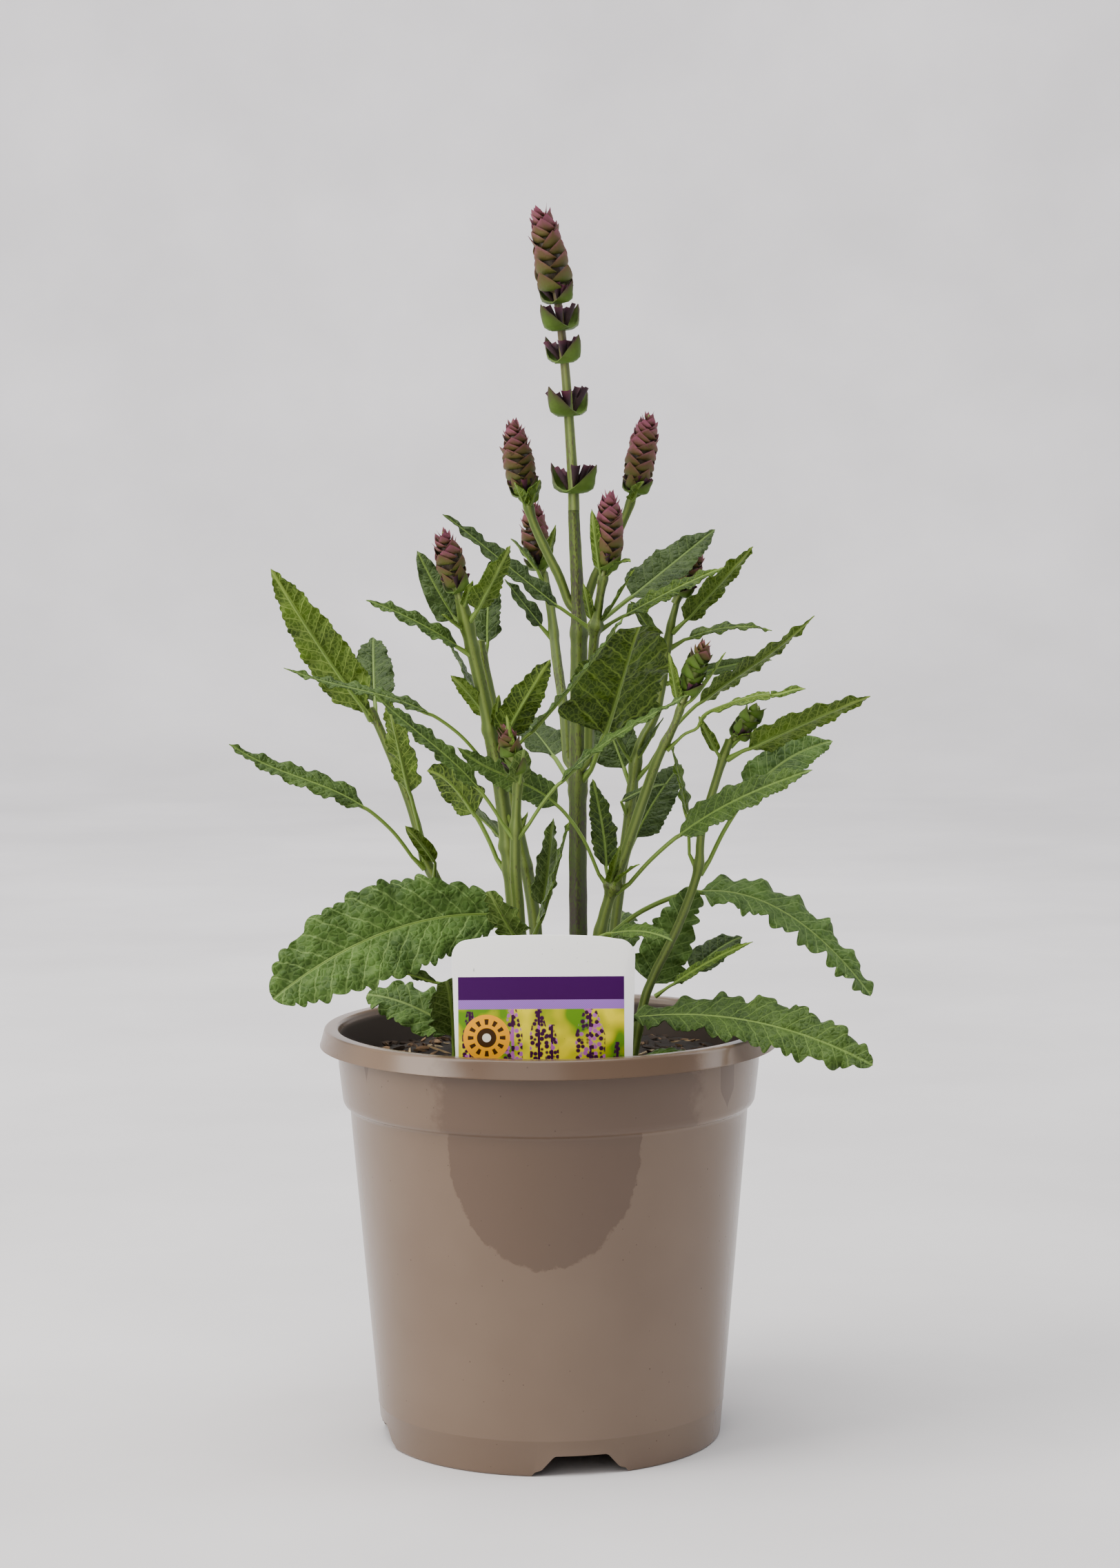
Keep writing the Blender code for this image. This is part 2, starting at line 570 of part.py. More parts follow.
LEAVES = (
    # centre stem
    Leaf("leaf_centre_front", "centre", 104, (33.5, -32, 161), 40, 0.25, (2, 8), (-6, -4)),
    Leaf("leaf_centre_back_left", "centre", 99, (-12.8, 58, 124), 18, 0.35, (3, 5)),
    Leaf("leaf_centre_back_right", "centre", 158, (64, 36, 195), 17, 0.36, (-2, -1), roll=(35, 35)),
    # side shoots
    Leaf("leaf_shoot_low_left", "shoot_low_left", 157, (-15.1, 20, 177), 9, 0.15, (-2, -2), roll=(-40, -40)),
    Leaf("leaf_shoot_right_long", "shoot_low_right", 160, (-37, -15, 201.6), 11, 0.22, (-4, 0),
         roll=(-35, -35)),
    Leaf("leaf_shoot_right_out", "shoot_low_right", 160, (66, 2, 181.5), 9, 0.2, (0, 1),
         roll=(20, 30)),
    # back right stem
    Leaf("leaf_back_right_up", "back_right", 158, (78, 32, 188.5), 11, 0.1, (-2, -2), roll=(-35, -35)),
    Leaf("leaf_back_right_flat", "back_right", 152, (86.6, 52, 156), 9, 0.15, (3, 5),
         roll=(15, 15)),
    Leaf("leaf_back_right_long", "back_right", 103, (100.8, 28, 162.5), 11, 0.35, (15, -4),
         roll=(-30, -30)),
    # front left stem
    Leaf("leaf_front_left_up", "front_left", 163, (-46.3, -22, 188.5), 12, 0.08, (-5, -4),
         roll=(-50, -50)),
    Leaf("leaf_front_left_inner", "front_left", 164, (-12.4, -44, 190.5), 11, 0.14, (-2, -3),
         roll=(-20, -20)),
    Leaf("leaf_front_left_out", "front_left", 154, (-63.6, -42, 171.5), 10, 0.06, (0, 1),
         roll=(-35, -35)),
    Leaf("leaf_front_left_long", "front_left", 112, (-93.4, -40, 147.5), 9, 0.3, (17, 0),
         roll=(-20, -20)),
    Leaf("leaf_front_left_edge", "front_left", 113, (28, -42, 165.5), 9, 0.22, (-4, -6),
         roll=(10, 10)),
    Leaf("leaf_front_left_broad", "front_left", 118, (1.6, -44, 150), 13, 0.1, (0, -1),
         roll=(-40, -40)),
    Leaf("leaf_front_left_low", "front_left", 73, (-43.7, -12, 108), 17, 0.4, (6, 10),
         roll=(65, 65)),
    Leaf("leaf_front_left_basal", "front_left", 56, over_rim(205.5, 24, 29), 41, 0.18, (12, 14),
         roll=(-68, -60), shape="oblong"),
    # far left stem
    Leaf("leaf_far_left_up", "far_left", 128, (-100.3, -8, 182), 18, 0.08, (-4, -3),
         roll=(55, 55)),
    Leaf("leaf_far_left_back", "far_left", 127, (-66.2, 45, 154.7), 15, 0.15, (0, 3)),
    Leaf("leaf_far_left_long", "far_left", 73, (-116.4, -8, 118), 12, 0.3, (18, -3),
         roll=(-35, -35)),
    Leaf("leaf_far_left_upright", "far_left", 75, (-58, -14, 135.3), 12, 0.4, (0, 0)),
    Leaf("leaf_far_left_low", "far_left", 3, (-69, 24, 20), 22, 0.3, (0, 6), roll=(-45, -35),
         shape="oblong"),
    # front short stem
    Leaf("leaf_front_short_left", "front_short", 88, (-61, -48, 138.6), 10, 0.24, (9, -1),
         roll=(-40, -40)),
    Leaf("leaf_front_short_right", "front_short", 88, (50, -54, 137.7), 9, 0.24, (13, 4),
         roll=(20, 20)),
    # front right stem
    Leaf("leaf_front_right_left", "front_right", 66, (-32, -30, 117.7), 11, 0.34, (27, 0),
         roll=(-75, -75)),
    Leaf("leaf_front_right_out", "front_right", 66, (94.7, -44, 110), 14, 0.32, (10, 6),
         roll=(45, 50)),
    Leaf("leaf_front_right_top", "front_right", 119, (92.4, -44, 139), 10, 0.2, (7, 5),
         roll=(-40, 50)),
    Leaf("leaf_front_right_low", "front_right", 67, (16.9, -6, 104), 10, 0.1, (4, 0)),
    Leaf("leaf_front_right_rim", "front_right", 15, over_rim(-27.5, 44.7, 6), 26, 0.2, (12, 14),
         roll=(5, 55), shape="oblong"),
    # far right stem
    Leaf("leaf_far_right_out", "far_right", 113, (118.2, -14, 134.5), 13, 0.12, (-1, 0),
         roll=(-45, -45)),
    Leaf("leaf_far_right_back", "far_right", 71, (108, 28, 115), 16, 0.35, (17, 12),
         roll=(45, 45)),
    Leaf("leaf_far_right_left", "far_right", 72, (46.1, 2, 116.4), 9, 0.35, (6, 0),
         roll=(20, 20)),
    # low leaves of the centre stem and the back left stem's top leaf
    Leaf("leaf_centre_basal", "centre", 38, (118.7, -13.9, 24), 24, 0.4, (38, 42),
         (-8, -6), roll=(25, 25), shape="oblong"),
    Leaf("leaf_far_right_upright", "far_right", 12, (54, -1, 63), 18, 0.3, (0, 0), (-6, -2),
         roll=(50, 50)),
    Leaf("leaf_back_left_up", "back_left", 148, (-20.4, 41, 184), 11, 0.12),
)


def main():
    clear_scene()
    make_pot()
    make_compost()
    make_label()
    for stem in STEMS.values():
        make_stem(stem)
    for spike in SPIKES:
        make_spike(spike)
    for leaf in LEAVES:
        make_leaf(leaf)


main()
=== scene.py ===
"""Looks of a potted sage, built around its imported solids.

Shapes are worked out in millimetres in the solids' own frame and turned to metres where a mesh is
written: the pot stands on z = 0 and its label faces -Y.
"""

from __future__ import annotations

import itertools
import logging
import math
from collections.abc import Callable, Iterator, Sequence
from contextlib import contextmanager
from dataclasses import dataclass, field
from enum import Enum
from functools import partial

import bpy
import numpy as np
from bpy.types import Material, Node, NodeSocket, NodeTree, Object
from mathutils import Matrix, Vector

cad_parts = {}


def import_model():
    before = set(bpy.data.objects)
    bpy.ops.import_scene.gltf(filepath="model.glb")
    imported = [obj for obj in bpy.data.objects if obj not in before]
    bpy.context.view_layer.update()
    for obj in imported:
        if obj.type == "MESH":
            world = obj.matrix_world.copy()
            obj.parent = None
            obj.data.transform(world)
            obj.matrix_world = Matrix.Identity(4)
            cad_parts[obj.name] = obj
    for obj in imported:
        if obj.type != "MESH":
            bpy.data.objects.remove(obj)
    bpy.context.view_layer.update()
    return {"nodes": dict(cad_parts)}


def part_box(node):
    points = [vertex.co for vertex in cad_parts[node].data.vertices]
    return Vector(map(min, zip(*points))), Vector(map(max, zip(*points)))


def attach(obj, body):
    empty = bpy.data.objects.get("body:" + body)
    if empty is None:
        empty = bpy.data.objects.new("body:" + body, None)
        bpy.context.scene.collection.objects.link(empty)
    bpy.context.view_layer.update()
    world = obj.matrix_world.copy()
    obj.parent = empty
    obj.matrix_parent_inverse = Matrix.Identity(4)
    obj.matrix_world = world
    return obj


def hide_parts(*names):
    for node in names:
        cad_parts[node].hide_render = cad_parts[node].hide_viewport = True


MM = 0.001
LOG = logging.getLogger("potted_sage")
Array = np.ndarray
# Edges flatter than this, in degrees, are shaded smooth
SMOOTH_BELOW = 50
# Makes a Map Range node ease in and out
SOFT = {"interpolation_type": "SMOOTHSTEP"}


# ---------------------------------------------------------------- small tools

def linear(code: str) -> tuple[float, float, float, float]:
    """Turn an sRGB hex colour into linear RGBA.

    Args:
        code: Six hex digits after a hash sign.

    Returns:
        Red, green, blue and an alpha of 1.
    """
    parts = [int(code[i:i + 2], 16) / 255 for i in (1, 3, 5)]
    r, g, b = (c / 12.92 if c <= 0.04045 else ((c + 0.055) / 1.055) ** 2.4 for c in parts)
    return (r, g, b, 1.0)


def wire(tree: NodeTree, node: Node, inputs: dict) -> None:
    """Set a node's sockets.

    Args:
        tree: The node tree.
        node: The node.
        inputs: Socket name or number to a value, or to the socket that feeds it.
    """
    for key, value in inputs.items():
        if isinstance(value, NodeSocket):
            tree.links.new(value, node.inputs[key])
        else:
            node.inputs[key].default_value = value


def add_node(tree: NodeTree, kind: str, inputs: dict | None = None,
             **settings: object) -> bpy.types.bpy_prop_collection:
    """Add a shader node with its settings and links.

    Args:
        tree: The material's node tree.
        kind: The node's type name, without the "ShaderNode" that starts it.
        inputs: Socket name or number to a value, or to the socket that feeds it.
        settings: Properties of the node; "stops" holds a colour ramp's (position, colour) pairs.

    Returns:
        The new node's outputs.
    """
    made = tree.nodes.new("ShaderNode" + kind)
    for key, value in settings.items():
        if key == "stops":
            while len(made.color_ramp.elements) < len(value):
                made.color_ramp.elements.new(0.5)
            for stop, (place, colour) in zip(made.color_ramp.elements, value):
                stop.position = place
                stop.color = colour
        else:
            setattr(made, key, value)
    wire(tree, made, inputs or {})
    return made.outputs


def new_material(name: str) -> tuple[Material, NodeTree, Node]:
    """Start a node material.

    Args:
        name: The finish's name.

    Returns:
        The material, its tree and its Principled shader.
    """
    material = bpy.data.materials.new(name)
    material.use_nodes = True
    tree = material.node_tree
    return material, tree, tree.nodes["Principled BSDF"]


def value_noise(points: Array, cell: float, seed: int) -> Array:
    """Smooth noise on a cubic lattice.

    Args:
        points: Places in millimetres, as rows of three.
        cell: The lattice's spacing in millimetres.
        seed: Picks the pattern.

    Returns:
        One number from -1 to 1 for each place.
    """
    scaled = np.asarray(points, float) / cell
    base = np.floor(scaled).astype(np.int64)
    part = scaled - base
    part = part * part * (3 - 2 * part)
    total = np.zeros(len(scaled))
    for corner in itertools.product((0, 1), repeat=3):
        c = base + np.array(corner)
        mixed = (c[:, 0] * 374761393 + c[:, 1] * 668265263 + c[:, 2] * 974634777
                 + seed * 1274126177) & 0xFFFFFFFF
        mixed = ((mixed ^ (mixed >> 13)) * 1103515245) & 0xFFFFFFFF
        mixed = (mixed ^ (mixed >> 16)) & 0xFFFFFF
        weight = np.prod(np.where(np.array(corner) == 1, part, 1 - part), axis=1)
        total += weight * (mixed / 0x7FFFFF - 1)
    return total


def run_along(line: Array) -> Array:
    """Length along a line from its first point to each of its points."""
    return np.concatenate([[0], np.cumsum(np.linalg.norm(np.diff(line, axis=0), axis=1))])


def follow(knots: Array, values: Array, at: Array) -> Array:
    """Read a smooth curve through given values.

    Args:
        knots: Rising positions of the values.
        values: One number or vector for each knot.
        at: Positions to read.

    Returns:
        The curve's value at each position.
    """
    knots, values, at = (np.asarray(v, float) for v in (knots, values, at))
    slopes = np.gradient(values, knots, axis=0)
    low = np.clip(np.searchsorted(knots, at, side="right") - 1, 0, len(knots) - 2)
    span = knots[low + 1] - knots[low]
    t = (at - knots[low]) / span
    if values.ndim > 1:
        t, span = t[:, None], span[:, None]
    return ((2 * t**3 - 3 * t**2 + 1) * values[low] + (t**3 - 2 * t**2 + t) * span * slopes[low]
            + (3 * t**2 - 2 * t**3) * values[low + 1] + (t**3 - t**2) * span * slopes[low + 1])


def unit(vectors: Array) -> Array:
    """Each row at length one."""
    vectors = np.asarray(vectors, float)
    return vectors / np.maximum(np.linalg.norm(vectors, axis=-1, keepdims=True), 1e-9)


def fade(low: float, high: float, x: Array) -> Array:
    """Rise smoothly from 0 at `low` to 1 at `high`."""
    t = np.clip((np.asarray(x, float) - low) / (high - low), 0, 1)
    return t * t * (3 - 2 * t)


def coordinates(piece: Object) -> Array:
    """A mesh's points as rows of three, in the units that it holds.

    Args:
        piece: The mesh's object.

    Returns:
        One row for each point.
    """
    flat = np.empty(len(piece.data.vertices) * 3)
    piece.data.vertices.foreach_get("co", flat)
    return flat.reshape(-1, 3)


def place(piece: Object, points: Array) -> None:
    """Move a mesh's points to places given in millimetres."""
    piece.data.vertices.foreach_set("co", (np.asarray(points) * MM).ravel())
    piece.data.update()


def mark(piece: Object, name: str, rows: Array) -> None:
    """Store a vector for each point of a mesh.

    Args:
        piece: The mesh's object.
        name: The attribute's name, which materials read.
        rows: One row of three for each point.
    """
    layer = piece.data.attributes.new(name, "FLOAT_VECTOR", "POINT")
    layer.data.foreach_set("vector", np.asarray(rows, np.float32).ravel())


def only(piece: Object) -> None:
    """Select one object and make it the active one.

    Args:
        piece: The object to select.
    """
    bpy.ops.object.select_all(action="DESELECT")
    piece.select_set(True)
    bpy.context.view_layer.objects.active = piece


def begin(name: str, primitive: Callable[..., set], **settings: object) -> Object:
    """Add a primitive with nothing else selected.

    Args:
        name: The new object's name.
        primitive: The operator that adds it.
        settings: The operator's settings.

    Returns:
        The new object.
    """
    bpy.ops.object.select_all(action="DESELECT")
    primitive(**settings)
    bpy.context.object.name = name
    return bpy.context.object


@contextmanager
def editing(piece: Object) -> Iterator[None]:
    """Hold one object in edit mode, with its whole mesh selected at first.

    Args:
        piece: The object.

    Returns:
        A context in which it is being edited.
    """
    only(piece)
    bpy.ops.object.mode_set(mode="EDIT")
    bpy.ops.mesh.select_all(action="SELECT")
    yield
    bpy.ops.object.mode_set(mode="OBJECT")


def turn_outwards(piece: Object) -> None:
    """Turn a closed mesh's faces outwards."""
    with editing(piece):
        bpy.ops.mesh.normals_make_consistent(inside=False)


def apply_modifier(piece: Object, kind: str, **settings: object) -> None:
    """Add a modifier and apply it at once.

    Args:
        piece: The object that it changes.
        kind: The modifier's type.
        settings: Its properties.
    """
    only(piece)
    modifier = piece.modifiers.new(kind.title(), kind)
    for key, value in settings.items():
        setattr(modifier, key, value)
    bpy.ops.object.modifier_apply(modifier=modifier.name)


def merge(name: str, pieces: Sequence[Object]) -> Object:
    """Join several meshes into one object.

    Args:
        name: The joined object's name.
        pieces: What is joined; the first one's materials come first.

    Returns:
        The joined object.
    """
    only(pieces[0])
    for piece in pieces[1:]:
        piece.select_set(True)
    if len(pieces) > 1:
        bpy.ops.object.join()
    pieces[0].name = name
    pieces[0].data.name = name
    return pieces[0]


def settle(piece: Object, replaces: Sequence[str] = ()) -> None:
    """Smooth a finished piece and tie it to the frame.

    Args:
        piece: The finished piece.
        replaces: The CAD nodes that it stands for.
    """
    only(piece)
    bpy.ops.object.shade_smooth_by_angle(angle=math.radians(SMOOTH_BELOW))
    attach(piece, "root")
    if replaces:
        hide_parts(*replaces)
    LOG.info("%s: %d faces", piece.name, len(piece.data.polygons))


def sheet(name: str, along: int, across: int) -> tuple[Object, Array, Array]:
    """Start a sheet from a grid.

    Args:
        name: The object's name.
        along: Cells from its foot to its tip.
        across: Cells from edge to edge.

    Returns:
        The object, and each point's share along (0 to 1) and across (-1 to 1).
    """
    piece = begin(name, bpy.ops.mesh.primitive_grid_add, x_subdivisions=along,
                  y_subdivisions=across, size=2)
    points = coordinates(piece)
    return piece, (points[:, 0] + 1) / 2, -points[:, 1]


def sphere_rings(name: str, count: int, around: int) -> tuple[Object, Array, Array]:
    """Start a closed shape from a sphere's rings.

    Args:
        name: The object's name.
        count: Rings from pole to pole, with both poles.
        around: Points around each ring.

    Returns:
        The object, and each point's ring and angle.
    """
    piece = begin(name, bpy.ops.mesh.primitive_uv_sphere_add, segments=around,
                  ring_count=count - 1, radius=1)
    start = coordinates(piece)
    ring = np.rint(np.arccos(np.clip(-start[:, 2], -1, 1)) / math.pi * (count - 1)).astype(int)
    return piece, ring, np.arctan2(start[:, 1], start[:, 0])


def prism(name: str, outline: Sequence[tuple[float, float]]) -> tuple[Object, Array, Array]:
    """Start a flat-sided shape from a cylinder with a corner for each point of an outline.

    Args:
        name: The object's name.
        outline: The closed outline's points.

    Returns:
        The object, each point's place on the outline, and whether it is on the first face.
    """
    piece = begin(name, bpy.ops.mesh.primitive_cylinder_add, vertices=len(outline), radius=1,
                  depth=2)
    start = coordinates(piece)
    order = np.rint(np.arctan2(start[:, 0], start[:, 1]) / math.tau
                    * len(outline)).astype(int) % len(outline)
    return piece, np.array(outline)[order], start[:, 2] > 0


def tube(name: str, centres: Array, sides: Array, radii: Array,
         section: Callable[[Array], Array] | None = None, around: int = 16) -> Object:
    """Shape a sphere's rings into a closed tube along a line.

    Args:
        name: The object's name.
        centres: The line's points, with the closing points first and last.
        sides: A sideways direction at each point.
        radii: The tube's radius at each point.
        section: A factor on the radius for each angle, where the tube isn't round.
        around: Points around the tube.

    Returns:
        The tube, with the attribute "skin": length along, length around and radius.
    """
    count = len(centres)
    piece, ring, angle = sphere_rings(name, count, around)
    centres = np.asarray(centres, float)
    along = unit(np.gradient(centres, axis=0))
    side = unit(sides - along * np.sum(sides * along, axis=1, keepdims=True))
    up = np.cross(along, side)
    size = np.asarray(radii, float)[ring] * (section(angle) if section else 1.0)
    size = np.where((ring == 0) | (ring == count - 1), 0.0, size)
    place(piece, centres[ring] + side[ring] * (np.cos(angle) * size)[:, None]
          + up[ring] * (np.sin(angle) * size)[:, None])
    run = run_along(centres)
    mark(piece, "skin", np.stack([run[ring], angle, np.asarray(radii)[ring]], axis=1))
    return piece


def steady_sides(line: Array, first: Sequence[float] = (1, 0, 0)) -> Array:
    """A sideways direction along a line that turns as little as it can.

    Args:
        line: The line's points.
        first: A direction that the first one is near.

    Returns:
        One unit vector for each point.
    """
    along = unit(np.gradient(np.asarray(line, float), axis=0))
    side = np.asarray(first, float)
    found = []
    for direction in along:
        side = side - direction * side.dot(direction)
        side = side / np.linalg.norm(side)
        found.append(side)
    return np.array(found)


def copies(name: str, model: Object, places: Sequence[Matrix], tints: Sequence[float]) -> Object:
    """Lay many copies of one small model into one mesh.

    Args:
        name: The new object's name.
        model: The model, in its own space in millimetres; it is removed by the caller.
        places: Where each copy goes, in millimetres.
        tints: A number from 0 to 1 for each copy, which its material reads.

    Returns:
        The object, with the attribute "copy": share along the model, tint and across.
    """
    points = coordinates(model)
    faces = [tuple(face.vertices) for face in model.data.polygons]
    own = np.empty(len(points) * 3, np.float32)
    model.data.attributes["copy"].data.foreach_get("vector", own)
    own = own.reshape(-1, 3)
    all_points, all_faces, all_marks = [], [], []
    for index, (spot, tint) in enumerate(zip(places, tints)):
        turn = np.array(spot)
        all_points.append(points @ turn[:3, :3].T + turn[:3, 3])
        shift = index * len(points)
        all_faces += [tuple(v + shift for v in face) for face in faces]
        tinted = own.copy()
        tinted[:, 1] = tint
        all_marks.append(tinted)
    mesh = bpy.data.meshes.new(name)
    mesh.from_pydata((np.concatenate(all_points) * MM).tolist(), [], all_faces)
    piece = bpy.data.objects.new(name, mesh)
    bpy.context.scene.collection.objects.link(piece)
    mark(piece, "copy", np.concatenate(all_marks))
    for material in model.data.materials:
        mesh.materials.append(material)
    return piece


def read_rings(piece: Object, sides: int) -> tuple[Array, Array]:
    """Read a tapering solid's rings in order from its closed, pointed mesh.

    Args:
        piece: A CAD node made of rings that end in one point.
        sides: The points in each ring.

    Returns:
        The rings from foot to tip, each as rows of three in millimetres, and the tip.
    """
    mesh = piece.data
    mesh.calc_loop_triangles()
    corners = np.empty(len(mesh.loop_triangles) * 3, int)
    mesh.loop_triangles.foreach_get("vertices", corners)
    points, index = np.unique(np.round(coordinates(piece) / MM, 3), axis=0, return_inverse=True)
    near: dict[int, set[int]] = {}
    for face in index.reshape(-1)[corners].reshape(-1, 3).tolist():
        for corner in face:
            near.setdefault(corner, set()).update(face)
    for start, around in near.items():
        if len(around) != sides + 1:
            continue
        layers, seen = [{start}], {start}
        while True:
            ring = set().union(*(near[v] for v in layers[-1])) - seen
            if not ring:
                break
            layers.append(ring)
            seen |= ring
        if len(seen) == len(points) and all(len(layer) == sides for layer in layers[1:]):
            rings = [points[sorted(layer)] for layer in reversed(layers[1:])]
            return np.array(rings), points[start]
    raise ValueError(f"{piece.name} isn't a chain of rings")


def slices(piece: Object, step: float) -> tuple[Array, Array]:
    """Read a rising stem's line by cutting its solid level at even heights.

    Args:
        piece: A CAD node that rises all the way from its foot to its tip.
        step: Height between cuts, in mm.

    Returns:
        The middle of each cut and its radius, in mm.
    """
    mesh = piece.data
    ends = np.empty(len(mesh.edges) * 2, int)
    mesh.edges.foreach_get("vertices", ends)
    points = coordinates(piece) / MM
    low, high = points[ends.reshape(-1, 2)[:, 0]], points[ends.reshape(-1, 2)[:, 1]]
    heights = np.arange(points[:, 2].min() + 0.2, points[:, 2].max() - 0.2, step)
    centres, radii = [], []
    for height in heights:
        cut = (low[:, 2] < height) != (high[:, 2] < height)
        a, b = low[cut], high[cut]
        spots = a + (b - a) * ((height - a[:, 2]) / (b[:, 2] - a[:, 2]))[:, None]
        centres.append((spots.min(axis=0) + spots.max(axis=0)) / 2)
        radii.append(math.sqrt(2 * np.linalg.eigvalsh(np.cov(spots[:, :2].T))[0]))
    centres, radii = np.array(centres), np.array(radii)
    pointed = heights > heights[-1] - 2.0
    radii[pointed] = radii[~pointed][-1]
    return centres, radii


# ---------------------------------------------------------------- finishes

@dataclass(frozen=True)
class LeafSkin:
    """Living sage leaf: wrinkled between a pale net of veins, with a soft felt of short hairs."""

    name: str
    flesh_dark: str
    flesh_light: str
    vein: str
    raised_veins: bool
    vein_strength: float = 0.66
    roughness: float = 0.52
    net_mm: float = 2.0

    def _net_share(self) -> float:
        """How strongly the finest net shows."""
        return 0.42 if self.raised_veins else 0.26

    def material(self) -> Material:
        """Build the finish.

        Returns:
            A material that reads the attribute "blade": mm along, mm across and vein number.
        """
        material, tree, shader = new_material(self.name)
        put = partial(add_node, tree)
        blade = put("Attribute", attribute_name="blade")["Vector"]
        split = put("SeparateXYZ", {0: blade})
        flat = put("CombineXYZ", {"X": split[0], "Y": split[1]})[0]
        solid = put("TexCoord")["Object"]
        across = put("Math", {0: split[1]}, operation="ABSOLUTE")[0]
        # The midrib is about 1 mm wide and the side veins 0.4 mm.
        midrib = put("MapRange", {"Value": across, "From Min": 0.3, "From Max": 0.75,
                                  "To Min": 1.0, "To Max": 0.0}, **SOFT)[0]
        wander = put("TexNoise", {"Vector": flat, "Scale": 0.3, "Detail": 3.0})[0]
        wander = put("Math", {0: wander, 1: 0.4, 2: -0.2}, operation="MULTIPLY_ADD")[0]
        number = put("Math", {0: split[2], 1: wander})[0]
        off = put("Math", {0: number, 1: 0.5}, operation="PINGPONG")[0]
        side_vein = put("MapRange", {"Value": off, "From Min": 0.02, "From Max": 0.085,
                                     "To Min": 0.85 if self.raised_veins else 0.7, "To Max": 0.0},
                        **SOFT)[0]
        # The finest net closes cells of one to two millimetres.
        bent = put("TexNoise", {"Vector": flat, "Scale": 0.9, "Detail": 1.0})["Color"]
        bent = put("VectorMath", {0: bent, 1: (0.9, 0.9, 0.0), 2: flat},
                   operation="MULTIPLY_ADD")[0]
        cell = put("TexVoronoi", {"Vector": bent, "Scale": 1 / self.net_mm},
                   feature="DISTANCE_TO_EDGE")["Distance"]
        net = put("MapRange", {"Value": cell, "From Min": 0.01, "From Max": 0.16,
                               "To Min": self._net_share(), "To Max": 0.0}, **SOFT)[0]
        veins = put("Math", {0: midrib, 1: side_vein}, operation="MAXIMUM")[0]
        veins = put("Math", {0: veins, 1: net}, operation="MAXIMUM")[0]
        # Patches of colour some ten millimetres across, and a fine mottle.
        patch = put("TexNoise", {"Vector": solid, "Scale": 85.0, "Detail": 4.0})[0]
        patch = put("MapRange", {"Value": patch, "From Min": 0.3, "From Max": 0.7})[0]
        flesh = put("Mix", {0: patch, 6: linear(self.flesh_dark), 7: linear(self.flesh_light)},
                    data_type="RGBA")[2]
        strength = put("Math", {0: veins, 1: self.vein_strength}, operation="MULTIPLY")[0]
        colour = put("Mix", {0: strength, 6: flesh, 7: linear(self.vein)}, data_type="RGBA")[2]
        puff = put("MapRange", {"Value": cell, "From Min": 0.0, "From Max": 0.35}, **SOFT)[0]
        sign = -0.9 if not self.raised_veins else 1.1
        lift = put("Math", {0: veins, 1: sign, 2: puff}, operation="MULTIPLY_ADD")[0]
        if self.raised_veins:
            lift = put("Math", {0: puff, 1: -0.6, 2: lift}, operation="MULTIPLY_ADD")[0]
        bump = put("Bump", {"Strength": 0.75, "Distance": 0.00028, "Height": lift})[0]
        wire(tree, shader, {"Base Color": colour, "Normal": bump, "Roughness": self.roughness,
                            "Specular IOR Level": 0.2, "Sheen Weight": 0.02,
                            "Sheen Roughness": 0.45})
        return material


@dataclass(frozen=True)
class StemSkin:
    """Soft green stem: pale ribs, flecked and streaked with purple-brown, and finely hairy."""

    name: str
    pale: str
    green: str
    fleck: str
    fleck_share: float
    # A colour mixed in between two heights in metres: a real brown flush on the spike's axis,
    # painted shade low on the middle stem
    blush_and_shade: str = "#5d4538"
    blush_and_shade_between: tuple[float, float] = (1.0, 2.0)

    def material(self) -> Material:
        """Build the finish.

        Returns:
            A material that reads the attribute "skin": mm along, angle and radius.
        """
        material, tree, shader = new_material(self.name)
        put = partial(add_node, tree)
        skin = put("Attribute", attribute_name="skin")["Vector"]
        solid = put("TexCoord")["Object"]
        split = put("SeparateXYZ", {0: skin})
        # Flecks are about 1.5 mm long and 0.4 mm wide, along the stem.
        stretched = put("VectorMath", {0: solid, 1: (2300.0, 2300.0, 620.0)},
                        operation="MULTIPLY")[0]
        flecks = put("TexNoise", {"Vector": stretched, "Scale": 1.0, "Detail": 3.0})[0]
        patches = put("TexNoise", {"Vector": solid, "Scale": 55.0, "Detail": 2.0})[0]
        mixed = put("Math", {0: patches, 1: 0.55, 2: flecks}, operation="MULTIPLY_ADD")[0]
        edge = 1.02 - 0.38 * self.fleck_share
        mask = put("MapRange", {"Value": mixed, "From Min": edge - 0.05, "From Max": edge + 0.1,
                                "To Max": 0.8}, **SOFT)[0]
        # The four ribs are paler than the faces between them.
        rib = put("Math", {0: split[1], 1: 4.0}, operation="MULTIPLY")[0]
        rib = put("Math", {0: rib}, operation="COSINE")[0]
        rib = put("MapRange", {"Value": rib, "From Min": -0.6, "From Max": 1.0})[0]
        green = put("Mix", {0: rib, 6: linear(self.green), 7: linear(self.pale)},
                    data_type="RGBA")[2]
        # Painted shade low on the middle stem, a real brown flush on the spike's axis: a second
        # colour mixed in between two heights
        height = put("SeparateXYZ", {0: solid})[2]
        turned = put("MapRange", {"Value": height, "From Min": self.blush_and_shade_between[0],
                                  "From Max": self.blush_and_shade_between[1], "To Max": 0.7}, **SOFT)[0]
        green = put("Mix", {0: turned, 6: green, 7: linear(self.blush_and_shade)}, data_type="RGBA")[2]
        colour = put("Mix", {0: mask, 6: green, 7: linear(self.fleck)}, data_type="RGBA")[2]
        bump = put("Bump", {"Strength": 0.4, "Distance": 0.0002, "Height": flecks})[0]
        wire(tree, shader, {"Base Color": colour, "Normal": bump, "Roughness": 0.48,
                            "Specular IOR Level": 0.35, "Sheen Weight": 0.04})
        return material


